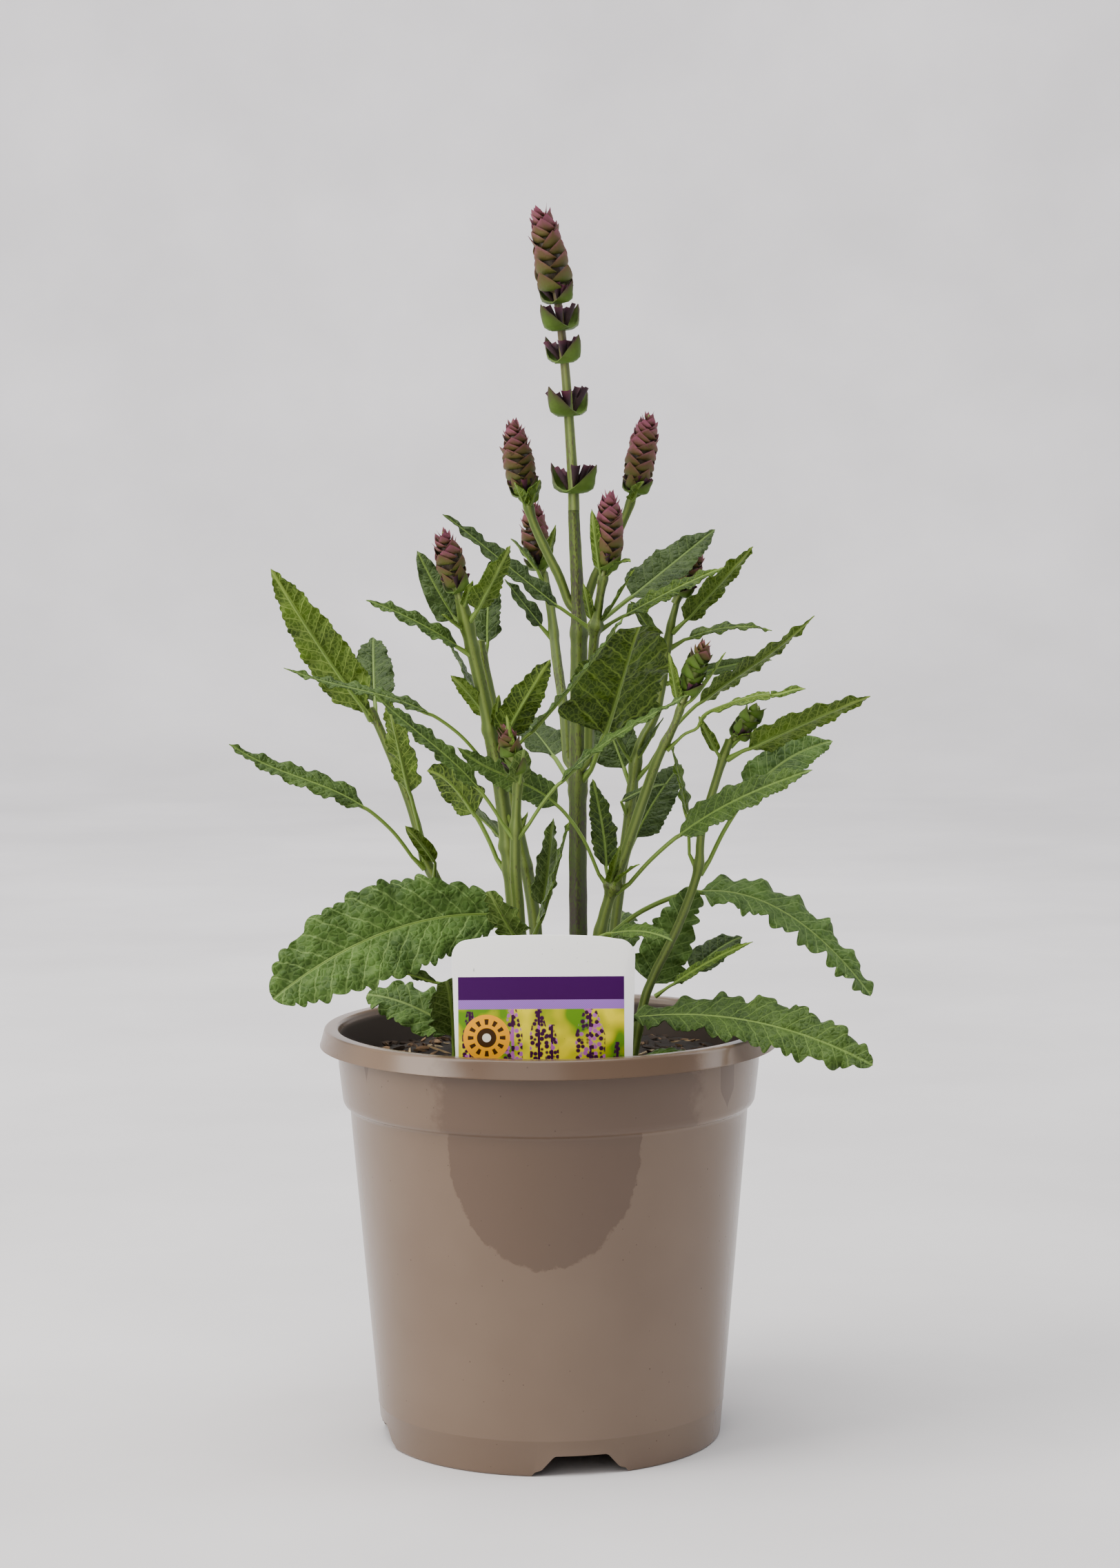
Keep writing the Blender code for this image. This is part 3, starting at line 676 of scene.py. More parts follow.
@dataclass(frozen=True)
class BractSkin:
    """Thin bract or calyx: green at its foot, flushed pink-purple to a dark pointed tip."""

    name: str
    foot: str
    middle: str
    tip: str
    spread: float

    def material(self) -> Material:
        """Build the finish.

        Returns:
            A material that reads the attribute "copy": share along, tint and across.
        """
        material, tree, shader = new_material(self.name)
        put = partial(add_node, tree)
        own = put("Attribute", attribute_name="copy")["Vector"]
        solid = put("TexCoord")["Object"]
        split = put("SeparateXYZ", {0: own})
        blot = put("TexNoise", {"Vector": solid, "Scale": 700.0, "Detail": 3.0})[0]
        edge = put("Math", {0: split[2], 1: split[2]}, operation="MULTIPLY")[0]
        share = put("Math", {0: split[1], 1: self.spread, 2: split[0]},
                    operation="MULTIPLY_ADD")[0]
        share = put("Math", {0: edge, 1: 0.4, 2: share}, operation="MULTIPLY_ADD")[0]
        share = put("Math", {0: blot, 1: 0.5, 2: share}, operation="MULTIPLY_ADD")[0]
        ramp = put("ValToRGB", {0: put("MapRange",
                                       {"Value": share, "From Min": 0.0, "From Max": 2.05})[0]},
                   stops=[(0.25, linear(self.foot)), (0.62, linear(self.middle)),
                          (0.95, linear(self.tip))])[0]
        bump = put("Bump", {"Strength": 0.5, "Distance": 0.0002, "Height": blot})[0]
        wire(tree, shader, {"Base Color": ramp, "Normal": bump, "Roughness": 0.6,
                            "Specular IOR Level": 0.3, "Sheen Weight": 0.04})
        return material


@dataclass(frozen=True)
class MouldedPot:
    """Moulded polypropylene in taupe: satin gloss, faint flow marks and fine dark specks."""

    name: str = "moulded_polypropylene_taupe"
    body: str = "#6c5a4b"
    chalk: str = "#776555"
    # Colour of a darker patch on the pot's front
    front_patch_colour: str = "#5d4b3d"
    # Colour of the collar's inside above the compost, which is darker
    soil: str = "#2a2019"
    speck: str = "#3a2a20"

    def material(self) -> Material:
        """Build the finish.

        Returns:
            The material, which reads Object coordinates in metres.
        """
        material, tree, shader = new_material(self.name)
        put = partial(add_node, tree)
        solid = put("TexCoord")["Object"]
        # Specks 0.3 to 0.6 mm across, one in every few square millimetres.
        cell = put("TexVoronoi", {"Vector": solid, "Scale": 420.0})
        size = put("SeparateColor", {0: cell["Color"]})[0]
        reach = put("MapRange", {"Value": size, "From Min": 0.72, "From Max": 1.0, "To Min": 0.0,
                                 "To Max": 0.17})[0]
        inside = put("Math", {0: reach, 1: cell["Distance"]}, operation="SUBTRACT")[0]
        speck = put("MapRange", {"Value": inside, "From Min": 0.0, "From Max": 0.08,
                                 "To Max": 0.55})[0]
        dust = put("TexNoise", {"Vector": solid, "Scale": 26.0, "Detail": 2.0})[0]
        tone = put("MapRange", {"Value": dust, "From Min": 0.2, "From Max": 0.8, "To Max": 0.5},
                   **SOFT)[0]
        body = put("Mix", {0: tone, 6: linear(self.body), 7: linear(self.chalk)},
                   data_type="RGBA")[2]
        # A darker patch on the front, under the collar's step and on the collar
        front_patch_share = self._front_dark_patch(tree, solid)
        body = put("Mix", {0: front_patch_share, 6: body, 7: linear(self.front_patch_colour)}, data_type="RGBA")[2]
        # The inside of the collar, darker towards the compost
        inner_dark_share = self._inner_dark(tree, solid)
        body = put("Mix", {0: inner_dark_share, 6: body, 7: linear(self.soil)}, data_type="RGBA")[2]
        colour = put("Mix", {0: speck, 6: body, 7: linear(self.speck)}, data_type="RGBA")[2]
        fine = put("TexNoise", {"Vector": solid, "Scale": 900.0, "Detail": 2.0})[0]
        rough = put("MapRange", {"Value": dust, "From Min": 0.0, "From Max": 1.0, "To Min": 0.19,
                                 "To Max": 0.27})[0]
        rough = put("Math", {0: inner_dark_share, 1: 0.5, 2: rough}, operation="MULTIPLY_ADD")[0]
        bump = put("Bump", {"Strength": 0.1, "Distance": 0.0001, "Height": fine})[0]
        wire(tree, shader, {"Base Color": colour, "Roughness": rough, "Normal": bump, "IOR": 1.43})
        return material

    def _front_dark_patch(self, tree: NodeTree, solid: NodeSocket) -> NodeSocket:
        """Mask of a darker patch on the front: a half ellipse under the collar's step, a band on
        the collar above it and two narrow streaks.

        Args:
            tree: The material's tree.
            solid: Object coordinates in metres.

        Returns:
            A socket that is 1 on the patch.
        """
        put = partial(add_node, tree)
        axes = put("SeparateXYZ", {0: solid})
        ragged = put("TexNoise", {"Vector": solid, "Scale": 150.0, "Detail": 4.0,
                                  "Roughness": 0.65})[0]
        ragged = put("Math", {0: ragged, 1: 0.3, 2: -0.15}, operation="MULTIPLY_ADD")[0]
        # A half ellipse 34 mm to each side and 46 mm deep, hung from the step under the collar.
        side = put("Math", {0: axes[0], 1: 1 / 0.0345, 2: 0.0015 / 0.0345},
                   operation="MULTIPLY_ADD")[0]
        side = put("Math", {0: put("Math", {0: side}, operation="ABSOLUTE")[0], 1: 2.0},
                   operation="POWER")[0]
        down = put("MapRange", {"Value": axes[2], "From Min": 0.125, "From Max": 0.0765},
                   clamp=False)[0]
        down = put("Math", {0: down, 1: 0.0}, operation="MAXIMUM")[0]
        down = put("Math", {0: down, 1: 2.2}, operation="POWER")[0]
        away = put("Math", {0: side, 1: down})[0]
        away = put("Math", {0: away, 1: ragged})[0]
        patch = put("MapRange", {"Value": away, "From Min": 1.02, "From Max": 0.97}, **SOFT)[0]
        # The collar above it is darker further round.
        above = put("MapRange", {"Value": axes[2], "From Min": 0.1245, "From Max": 0.1255},
                    **SOFT)[0]
        shifted = put("Math", {0: axes[0], 1: 1 / 0.0475, 2: -0.007 / 0.0475},
                      operation="MULTIPLY_ADD")[0]
        shifted = put("Math", {0: shifted}, operation="ABSOLUTE")[0]
        shifted = put("Math", {0: shifted, 1: ragged})[0]
        band = put("MapRange", {"Value": shifted, "From Min": 1.05, "From Max": 0.9}, **SOFT)[0]
        band = put("Math", {0: band, 1: above}, operation="MULTIPLY")[0]
        patch = put("Math", {0: patch, 1: band}, operation="MAXIMUM")[0]
        for middle, half, foot in ((0.0643, 0.0026, 0.1285), (-0.0655, 0.0011, 0.1385)):
            run = put("MapRange", {"Value": axes[2], "From Min": foot, "From Max": foot + 0.009,
                                   "To Max": half}, **SOFT)[0]
            off = put("Math", {0: axes[0], 1: middle}, operation="SUBTRACT")[0]
            off = put("Math", {0: off}, operation="ABSOLUTE")[0]
            streak = put("Math", {0: off, 1: run}, operation="LESS_THAN")[0]
            under = put("Math", {0: axes[2], 1: 0.1468}, operation="LESS_THAN")[0]
            streak = put("Math", {0: streak, 1: under}, operation="MULTIPLY")[0]
            patch = put("Math", {0: patch, 1: streak}, operation="MAXIMUM")[0]
        front = put("Math", {0: axes[1], 1: -0.02}, operation="LESS_THAN")[0]
        return put("Math", {0: patch, 1: front}, operation="MULTIPLY")[0]

    def _inner_dark(self, tree: NodeTree, solid: NodeSocket) -> NodeSocket:
        """Mask of the inside of the collar, darker towards the compost.

        Args:
            tree: The material's tree.
            solid: Object coordinates in metres.

        Returns:
            A socket that is 1 on the stained wall.
        """
        put = partial(add_node, tree)
        flat = put("VectorMath", {0: solid, 1: (1.0, 1.0, 0.0)}, operation="MULTIPLY")[0]
        radius = put("VectorMath", {0: flat}, operation="LENGTH")["Value"]
        height = put("SeparateXYZ", {0: solid})[2]
        # The middle of the collar's wall leans outwards by 1 mm in 16.
        wall = put("Math", {0: height, 1: 0.0636, 2: 0.07605 - 0.126 * 0.0636},
                   operation="MULTIPLY_ADD")[0]
        inside = put("Math", {0: radius, 1: wall}, operation="LESS_THAN")[0]
        low = put("MapRange", {"Value": height, "From Min": 0.1528, "From Max": 0.1495,
                               "To Max": 0.9}, **SOFT)[0]
        collar = put("Math", {0: height, 1: 0.1262}, operation="GREATER_THAN")[0]
        inside = put("Math", {0: inside, 1: collar}, operation="MULTIPLY")[0]
        return put("Math", {0: inside, 1: low}, operation="MULTIPLY")[0]


@dataclass(frozen=True)
class Bark:
    """Damp composted bark: near-black crumbs with brown fibres and a few pale splinters."""

    name: str
    dark: str
    brown: str
    pale: str
    pale_from: float

    def material(self) -> Material:
        """Build the finish.

        Returns:
            A material that reads the attribute "copy" for the tone of each chip.
        """
        material, tree, shader = new_material(self.name)
        put = partial(add_node, tree)
        own = put("Attribute", attribute_name="copy")["Vector"]
        solid = put("TexCoord")["Object"]
        split = put("SeparateXYZ", {0: own})
        grain = put("TexNoise", {"Vector": solid, "Scale": 420.0, "Detail": 8.0,
                                 "Roughness": 0.7})[0]
        share = put("Math", {0: grain, 1: 0.55, 2: split[1]}, operation="MULTIPLY_ADD")[0]
        ramp = put("ValToRGB", {0: put("Math", {0: share, 1: 0.66}, operation="MULTIPLY")[0]},
                   stops=[(0.2, linear(self.dark)), (0.62, linear(self.brown)),
                          (self.pale_from, linear(self.pale))])[0]
        bump = put("Bump", {"Strength": 0.8, "Distance": 0.0008, "Height": grain})[0]
        wire(tree, shader, {"Base Color": ramp, "Normal": bump, "Roughness": 0.85})
        return material


@dataclass(frozen=True)
class PaleSweep:
    """Painted backdrop cloth: pale grey, softly mottled."""

    name: str = "backdrop_cloth"
    light: str = "#dddbdd"
    dark: str = "#cfcdcf"

    def material(self) -> Material:
        """Build the finish.

        Returns:
            The material, which reads Object coordinates in metres.
        """
        material, tree, shader = new_material(self.name)
        put = partial(add_node, tree)
        solid = put("TexCoord")["Object"]
        clouds = put("TexNoise", {"Vector": solid, "Scale": 3.2, "Detail": 5.0,
                                  "Roughness": 0.55})[0]
        spread = put("MapRange", {"Value": clouds, "From Min": 0.35, "From Max": 0.68})[0]
        colour = put("Mix", {0: spread, 6: linear(self.dark), 7: linear(self.light)},
                     data_type="RGBA")[2]
        wire(tree, shader, {"Base Color": colour, "Roughness": 0.95, "Specular IOR Level": 0.1})
        return material


@dataclass(frozen=True)
class LabelPrint:
    """Printed white polystyrene card: two plain bands over a picture of purple flower spikes."""

    name: str = "printed_polystyrene_card"
    left: float = -31.6
    right: float = 26.9
    head: float = 180.8
    middle: float = 172.6
    picture: float = 169.3
    foot: float = 148.0
    face: float = -66.6

    def material(self) -> Material:
        """Build the finish.

        Returns:
            A material laid out on the label's own place, in millimetres.
        """
        material, tree, shader = new_material(self.name)
        put = partial(add_node, tree)
        solid = put("TexCoord")["Object"]
        scaled = put("VectorMath", {0: solid, "Scale": 1 / MM}, operation="SCALE")[0]
        split = put("SeparateXYZ", {0: scaled})
        x, y, z = split[0], split[1], split[2]

        def band(value: NodeSocket, low: float, high: float, soft: float = 0.08) -> NodeSocket:
            """A mask that is 1 between two limits in millimetres.

            Args:
                value: The place along one axis.
                low: The lower limit.
                high: The upper limit.
                soft: Width of the soft edge.

            Returns:
                The mask.
            """
            rise = put("MapRange", {"Value": value, "From Min": low, "From Max": low + soft})[0]
            fall = put("MapRange", {"Value": value, "From Min": high, "From Max": high + soft,
                                    "To Min": 1.0, "To Max": 0.0})[0]
            return both(rise, fall)

        def both(a: NodeSocket, b: NodeSocket) -> NodeSocket:
            """Where two masks overlap."""
            return put("Math", {0: a, 1: b}, operation="MULTIPLY")[0]

        def over(base: NodeSocket | tuple, top: NodeSocket | tuple,
                 mask: NodeSocket) -> NodeSocket:
            """One ink laid over another where the mask is 1."""
            return put("Mix", {0: mask, 6: base, 7: top}, data_type="RGBA")[2]

        printed = both(band(x, self.left, self.right), band(z, self.foot, self.head))
        front = put("Math", {0: y, 1: self.face}, operation="LESS_THAN")[0]
        printed = both(printed, front)
        blur = put("TexNoise", {"Vector": scaled, "Scale": 0.11, "Detail": 1.0})[0]
        meadow = put("ValToRGB", {0: blur}, stops=[(0.36, linear("#5c8a10")),
                                                   (0.5, linear("#b8b400")),
                                                   (0.66, linear("#e8d800"))])[0]
        # Each pictured spike is a dark stalk with blots on both sides that thin out upwards.
        blot = put("TexVoronoi", {"Vector": scaled, "Scale": 0.62, "Randomness": 0.8})
        blot_size = put("MapRange", {"Value": blot["Distance"], "From Min": 0.42, "From Max": 0.62,
                                     "To Min": 1.0, "To Max": 0.0})[0]
        picture = meadow
        for middle, width, top, pale in ((-27.5, 2.9, 168.6, 0.2), (-12.4, 3.6, 169.3, 0.75),
                                         (-3.2, 3.3, 169.3, 0.15), (1.4, 2.6, 163.8, 0.25),
                                         (14.9, 5.4, 169.3, 0.8), (24.4, 2.0, 157.5, 0.1)):
            off = put("Math", {0: x, 1: middle}, operation="SUBTRACT")[0]
            off = put("Math", {0: off}, operation="ABSOLUTE")[0]
            reach = put("MapRange", {"Value": z, "From Min": top, "From Max": top - 9.0,
                                     "To Min": width * 0.42, "To Max": width})[0]
            inside = put("Math", {0: reach, 1: off}, operation="SUBTRACT")[0]
            inside = put("MapRange", {"Value": inside, "From Min": 0.0, "From Max": 0.25})[0]
            inside = both(inside, blot_size)
            stalk = put("Math", {0: off, 1: 0.45}, operation="LESS_THAN")[0]
            inside = put("Math", {0: inside, 1: stalk}, operation="MAXIMUM")[0]
            below = put("Math", {0: z, 1: top}, operation="LESS_THAN")[0]
            hue = put("SeparateColor", {0: blot["Color"]})[0]
            lilac = put("Math", {0: hue, 1: pale * 0.6}, operation="LESS_THAN")[0]
            ink = over(linear("#3a0838"), linear("#a85aa8"), lilac)
            picture = over(picture, ink, both(inside, below))
        # A plain sun: a disc, and a rayed ring in a darker tone.
        away = put("VectorMath", {0: scaled, 1: (-21.6, 0.0, 159.2)}, operation="SUBTRACT")[0]
        away = put("VectorMath", {0: away, 1: (1.0, 0.0, 1.0)}, operation="MULTIPLY")[0]
        parts = put("SeparateXYZ", {0: away})
        radius = put("VectorMath", {0: away}, operation="LENGTH")["Value"]
        turn = put("Math", {0: parts[0], 1: parts[2]}, operation="ARCTAN2")[0]
        rays = put("Math", {0: turn, 1: 12.0}, operation="MULTIPLY")[0]
        rays = put("Math", {0: rays}, operation="COSINE")[0]
        rays = put("Math", {0: rays, 1: 0.2}, operation="GREATER_THAN")[0]
        ring = both(rays, band(radius, 4.6, 6.6))
        core = band(radius, -1.0, 3.4)
        mark_ink = put("Math", {0: ring, 1: core}, operation="MAXIMUM")[0]
        sun = over(linear("#f0a400"), linear("#3a2204"), mark_ink)
        sun = over(sun, linear("#e9e4d2"), band(radius, -1.0, 1.5))
        picture = over(picture, sun, band(radius, -1.0, 8.2))
        # The two bands, with fine diagonal screen lines in the paler one.
        weave = put("Math", {0: x, 1: z})[0]
        weave = put("Math", {0: weave, 1: 0.35}, operation="PINGPONG")[0]
        weave = put("MapRange", {"Value": weave, "From Min": 0.0, "From Max": 0.35})[0]
        pale_band = over(linear("#8450ae"), linear("#a276c8"), weave)
        art = over(picture, pale_band, band(z, self.picture, self.middle))
        art = over(art, linear("#3a004c"), band(z, self.middle, self.head + 1))
        # Splashes of compost on the white card.
        dirt = put("TexNoise", {"Vector": scaled, "Scale": 1.1, "Detail": 2.0})[0]
        dirt = put("MapRange", {"Value": dirt, "From Min": 0.745, "From Max": 0.78,
                                "To Max": 0.85})[0]
        card = over(linear("#fcfcf9"), art, printed)
        card = over(card, linear("#40352a"), dirt)
        wire(tree, shader, {"Base Color": card, "Roughness": 0.38, "Specular IOR Level": 0.12,
                            "IOR": 1.57})
        return material


# ---------------------------------------------------------------- leaves

class Margin(Enum):
    """How a leaf's edge is cut: (tooth length in mm, tooth depth in mm, roundness)."""

    SERRATE = (2.5, 0.65, 0.6)
    CRENATE = (5.3, 2.2, 0.5)
    PLAIN = (3.0, 0.12, 1.0)


@dataclass
class LeafLine:
    """A leaf's midrib with its sideways direction and half width at each knot, in mm."""

    points: Array
    sides: Array
    halves: Array
    blade_from: int

    @classmethod
    def from_solid(cls, node: Object) -> "LeafLine":
        """Read the line from a leaf's CAD node, whose rings have four points.

        Args:
            node: The CAD node.

        Returns:
            The line, from the stalk's foot to the tip.
        """
        rings, tip = read_rings(node, 4)
        middles = rings.mean(axis=1)
        along = unit(np.gradient(np.vstack([middles, tip]), axis=0))[:-1]
        points, sides, halves = [], [], []
        guide = None
        for ring, ahead in reversed(list(zip(rings, along))):
            pairs = []
            for other in (1, 2, 3):
                rest = [k for k in (1, 2, 3) if k != other]
                chord = ring[other] - ring[0]
                cross = ring[rest[1]] - ring[rest[0]]
                pairs.append((chord, (ring[0], ring[other]), (ring[rest[0]], ring[rest[1]])))
                pairs.append((cross, (ring[rest[0]], ring[rest[1]]), (ring[0], ring[other])))
            if guide is None:
                best = max(pairs, key=lambda p: np.linalg.norm(p[0]))
            else:
                best = max(pairs, key=lambda p: abs(np.dot(unit(p[0]), guide))
                           + 0.001 * np.linalg.norm(p[0]))
            chord, edges, spine = best
            middle_edge = (edges[0] + edges[1]) / 2
            near = sorted(spine, key=lambda p: np.linalg.norm(p - middle_edge))
            if guide is None or np.linalg.norm(chord) > 4.0:
                up = unit(middle_edge - near[1])
                side = np.cross(ahead, up)
            else:
                side = guide
            chord = unit(chord) * np.sign(np.dot(chord, side) or 1.0)
            guide = chord
            points.append((near[0] * 1.3 + near[1]) / 2.3)
            sides.append(chord)
            halves.append(np.linalg.norm(edges[0] - edges[1]) / 2)
        points.reverse(), sides.reverse(), halves.reverse()
        return cls(np.vstack([points, tip]), np.vstack([sides, sides[-1]]),
                   np.array([*halves, 0.0]), 2)

    @classmethod
    def from_ends(cls, foot: Sequence[float], tip: Sequence[float], width: float,
                  bend: tuple[float, float] = (0.0, 0.0), roll: float = 0.0,
                  stalk: float = 0.15) -> "LeafLine":
        """Draw a small leaf between two points.

        Args:
            foot: Where it leaves the stem.
            tip: Its tip.
            width: Its full width.
            bend: How far the line rises at a third and at two thirds of its length.
            roll: Turn about its own line, in degrees.
            stalk: The stalk's share of the length.

        Returns:
            The line.
        """
        a, d = np.array(foot, float), np.array(tip, float)
        b = a + (d - a) / 3 + np.array([0, 0, bend[0]])
        c = a + (d - a) * 2 / 3 + np.array([0, 0, bend[1]])
        shares = np.array([0, stalk / 2, stalk] + [stalk + (1 - stalk) * s for s in
                                                   (0.1, 0.25, 0.42, 0.6, 0.78, 0.91, 1.0)])
        t = shares[:, None]
        points = a * (1 - t)**3 + b * 3 * (1 - t)**2 * t + c * 3 * (1 - t) * t**2 + d * t**3
        flat = np.array([d[0] - a[0], d[1] - a[1], 0.0])
        across = np.cross(unit(flat + 1e-6), [0, 0, 1])
        along = unit(np.gradient(points, axis=0))
        side = unit(across - along * (along @ across)[:, None])
        turn = math.radians(roll)
        side = side * math.cos(turn) + np.cross(along, side) * math.sin(turn)
        s = np.clip((shares - stalk) / (1 - stalk), 0, 1)
        halves = np.minimum(1, (0.06 + s)**0.4 * (1 - s)**0.75 * 1.97) * width / 2
        halves[:3] = min(0.8, width * 0.12)
        return cls(points, side, halves, 2)


@dataclass
class SageLeaf:
    """One leaf: a wrinkled, toothed blade with its stalk and raised midrib.

    Attributes:
        name: The piece's name.
        line: Where it runs and how wide it is.
        margin: How its edge is cut.
        seed: Picks its waves and puckers.
        wave: Rise and fall of its margin in mm.
        replaces: The CAD nodes it stands for.
        root: A point inside the stem where its stalk starts, or None.
        thickness: Of the blade, in mm.
        blunt_from: Share of an old blade's length at which its tip starts to round off.
        vein_slope: How far the side veins run forward for each mm outwards.
    """

    name: str
    line: LeafLine
    margin: Margin
    seed: int
    wave: float = 0.7
    replaces: tuple[str, ...] = ()
    root: Array | None = None
    thickness: float = 0.34
    blunt_from: float = 0.78
    vein_slope: float = 0.85

    def build(self, upper: Material, under: Material, stalk: Material) -> Object:
        """Build the leaf and tie it to the frame.

        Args:
            upper: The blade's upper skin.
            under: The blade's underside.
            stalk: The stalk and midrib.

        Returns:
            The finished piece.
        """
        blade = self._blade(upper, under)
        rib = self._rib()
        rib.data.materials.append(stalk)
        piece = merge(self.name, [blade, rib])
        settle(piece, self.replaces)
        return piece

    def _track(self) -> tuple[Array, float, float]:
        """Knots along the line, and where the blade starts and ends."""
        run = run_along(self.line.points)
        return run, run[self.line.blade_from], run[-1]

    def _frames(self, at: Array) -> tuple[Array, Array, Array, Array]:
        """Point, forward, sideways and upward directions at places along the line.

        Args:
            at: Lengths along the line, in mm.

        Returns:
            The four, one row for each place.
        """
        run, _, end = self._track()
        point = follow(run, self.line.points, at)
        ahead = unit(follow(run, self.line.points, np.minimum(at + 0.2, end))
                     - follow(run, self.line.points, np.maximum(at - 0.2, 0)))
        side = follow(run, self.line.sides, at)
        side = unit(side - ahead * np.sum(side * ahead, axis=1, keepdims=True))
        return point, ahead, side, np.cross(side, ahead)

    def _blade(self, upper: Material, under: Material) -> Object:
        """The toothed blade, puckered between its veins and given its thickness.

        Args:
            upper: The upper skin.
            under: The underside's skin.

        Returns:
            The blade, not yet joined to its midrib.
        """
        run, start, end = self._track()
        length = end - start
        widest = float(self.line.halves.max())
        along = int(np.clip(length / 0.5, 24, 170))
        across = 2 * int(np.clip(widest / 0.55, 5, 30))
        blade, s, v = sheet(self.name, along, across)
        knots = (run[self.line.blade_from:] - start) / length
        half = np.maximum(follow(knots, self.line.halves[self.line.blade_from:], s), 0)
        old = self.margin is Margin.CRENATE
        if old:
            beyond = (s - self.blunt_from) / (1 - self.blunt_from)
            blunt = 0.62 * widest * np.sqrt(np.clip(1 - beyond**2, 0, 1))
            half = np.where(beyond > 0, np.maximum(half, blunt), half)
        rng = np.random.default_rng(self.seed)
        phases = rng.uniform(0, math.tau, 6)
        small = min(1.0, widest / 5.0)
        tooth, depth, roundness = self.margin.value
        tooth *= 0.6 + 0.4 * small
        depth *= small
        hand = np.where(v >= 0, 1.0, -1.0)
        drift = 0.35 * np.sin(s * 9 + phases[0] * hand) + 0.2 * np.sin(s * 23 + phases[1])
        count = s * length / tooth + drift + np.where(v >= 0, phases[2], phases[3])
        step = count - np.floor(count)
        bump = np.sin(math.pi * step**1.25) ** roundness
        size = 1 + 0.35 * np.sin(np.floor(count) * 2.4 + phases[4])
        window = fade(0.0, 0.10, s) * fade(1.0, 0.93, s)
        half = half + (bump * size - 0.55) * depth * window
        half = np.maximum(half, 0.02) * (0.25 + 0.75 * fade(-0.01, 0.05, s))
        reach = np.abs(v)
        out = reach * half
        fold = 0.22 * half * (reach - 0.45 * reach**2.5)
        spacing = 1.9 + 0.32 * widest
        number = (s * length - out * self.vein_slope) / spacing + 0.35 * np.where(v >= 0, 0, 1)
        inner = fade(0.4, 1.6, out)
        puff = (0.07 + 0.022 * widest) * (0.5 - 0.5 * np.cos(math.tau * number)) * inner
        flat = np.stack([s * length, v * half, np.full(len(s), self.seed * 7.3)], axis=1)
        pucker = value_noise(flat, 2.1, self.seed) * (0.05 + 0.014 * widest)
        pucker += value_noise(flat, 4.5, self.seed + 9) * (0.05 + 0.02 * widest)
        wave_length = 7 + 0.7 * widest
        edge_wave = self.wave * small * reach**2 * window * (
            np.sin(math.tau * s * length / wave_length + np.where(v >= 0, phases[4], phases[5]))
            + 0.5 * np.sin(math.tau * s * length / (wave_length * 0.47) + phases[1] * hand))
        groove = -0.22 * small * np.exp(-(out / 0.6) ** 2)
        relief = puff * (0.6 if old else 1.0) + pucker * inner * (1.9 if old else 1.1)
        curl = -0.5 * depth * bump * reach**6 * window
        lift = fold + relief * small + edge_wave + groove + curl
        point, _, side, up = self._frames(start + s * length)
        place(blade, point + side * (v * half)[:, None] + up * lift[:, None])
        mark(blade, "blade", np.stack([s * length + self.seed * 31.0, v * half, number], axis=1))
        blade.data.materials.append(upper)
        blade.data.materials.append(under)
        apply_modifier(blade, "SOLIDIFY", thickness=self.thickness * MM, offset=-1.0,
                       material_offset=1, material_offset_rim=0)
        return blade

    def _rib(self) -> Object:
        """The stalk, which runs on as the midrib under the blade.

        Returns:
            The tube, not yet joined to the blade.
        """
        _, start, end = self._track()
        widest = float(self.line.halves.max())
        last = start + (end - start) * 0.93
        at = np.linspace(0, last, max(12, int(last / 1.6)))
        point, ahead, _, up = self._frames(at)
        thick = min(1.0, 0.45 + widest * 0.05)
        share = np.clip((at - start) / (last - start), 0, 1)
        radius = np.where(at < start, thick, thick * (1 - share) ** 0.8 * 0.85 + 0.12)
        radius = radius * (1 + 0.5 * np.exp(-(at / 1.6) ** 2))
        sunk = fade(start - 2.0, start + 2.0, at)
        centre = point - up * (sunk * (radius * 0.75 + 0.12))[:, None]
        root, skipped = centre[0] - ahead[0] * 1.7, 0
        if self.root is not None:
            root, skipped = self.root, 2
        centre = np.vstack([root, root + unit(centre[0] - root) * 0.1, centre[skipped:],
                            centre[-1] + ahead[-1] * 0.6])
        radius = np.concatenate([[0], [radius[0] * 1.1], radius[skipped:], [0]])
        return tube(self.name + "_rib", centre, steady_sides(centre, (0.3, 0.9, 0.2)), radius,
                    around=8)


# ---------------------------------------------------------------- stems and spikes

# Stems that are slimmer than their solids, as a share of the solid's radius
STEM_SLIMMING = {"stem_far_right": 0.72, "stem_front_right": 0.72, "stem_back_right": 0.75,
                 "stem_far_left": 0.8}


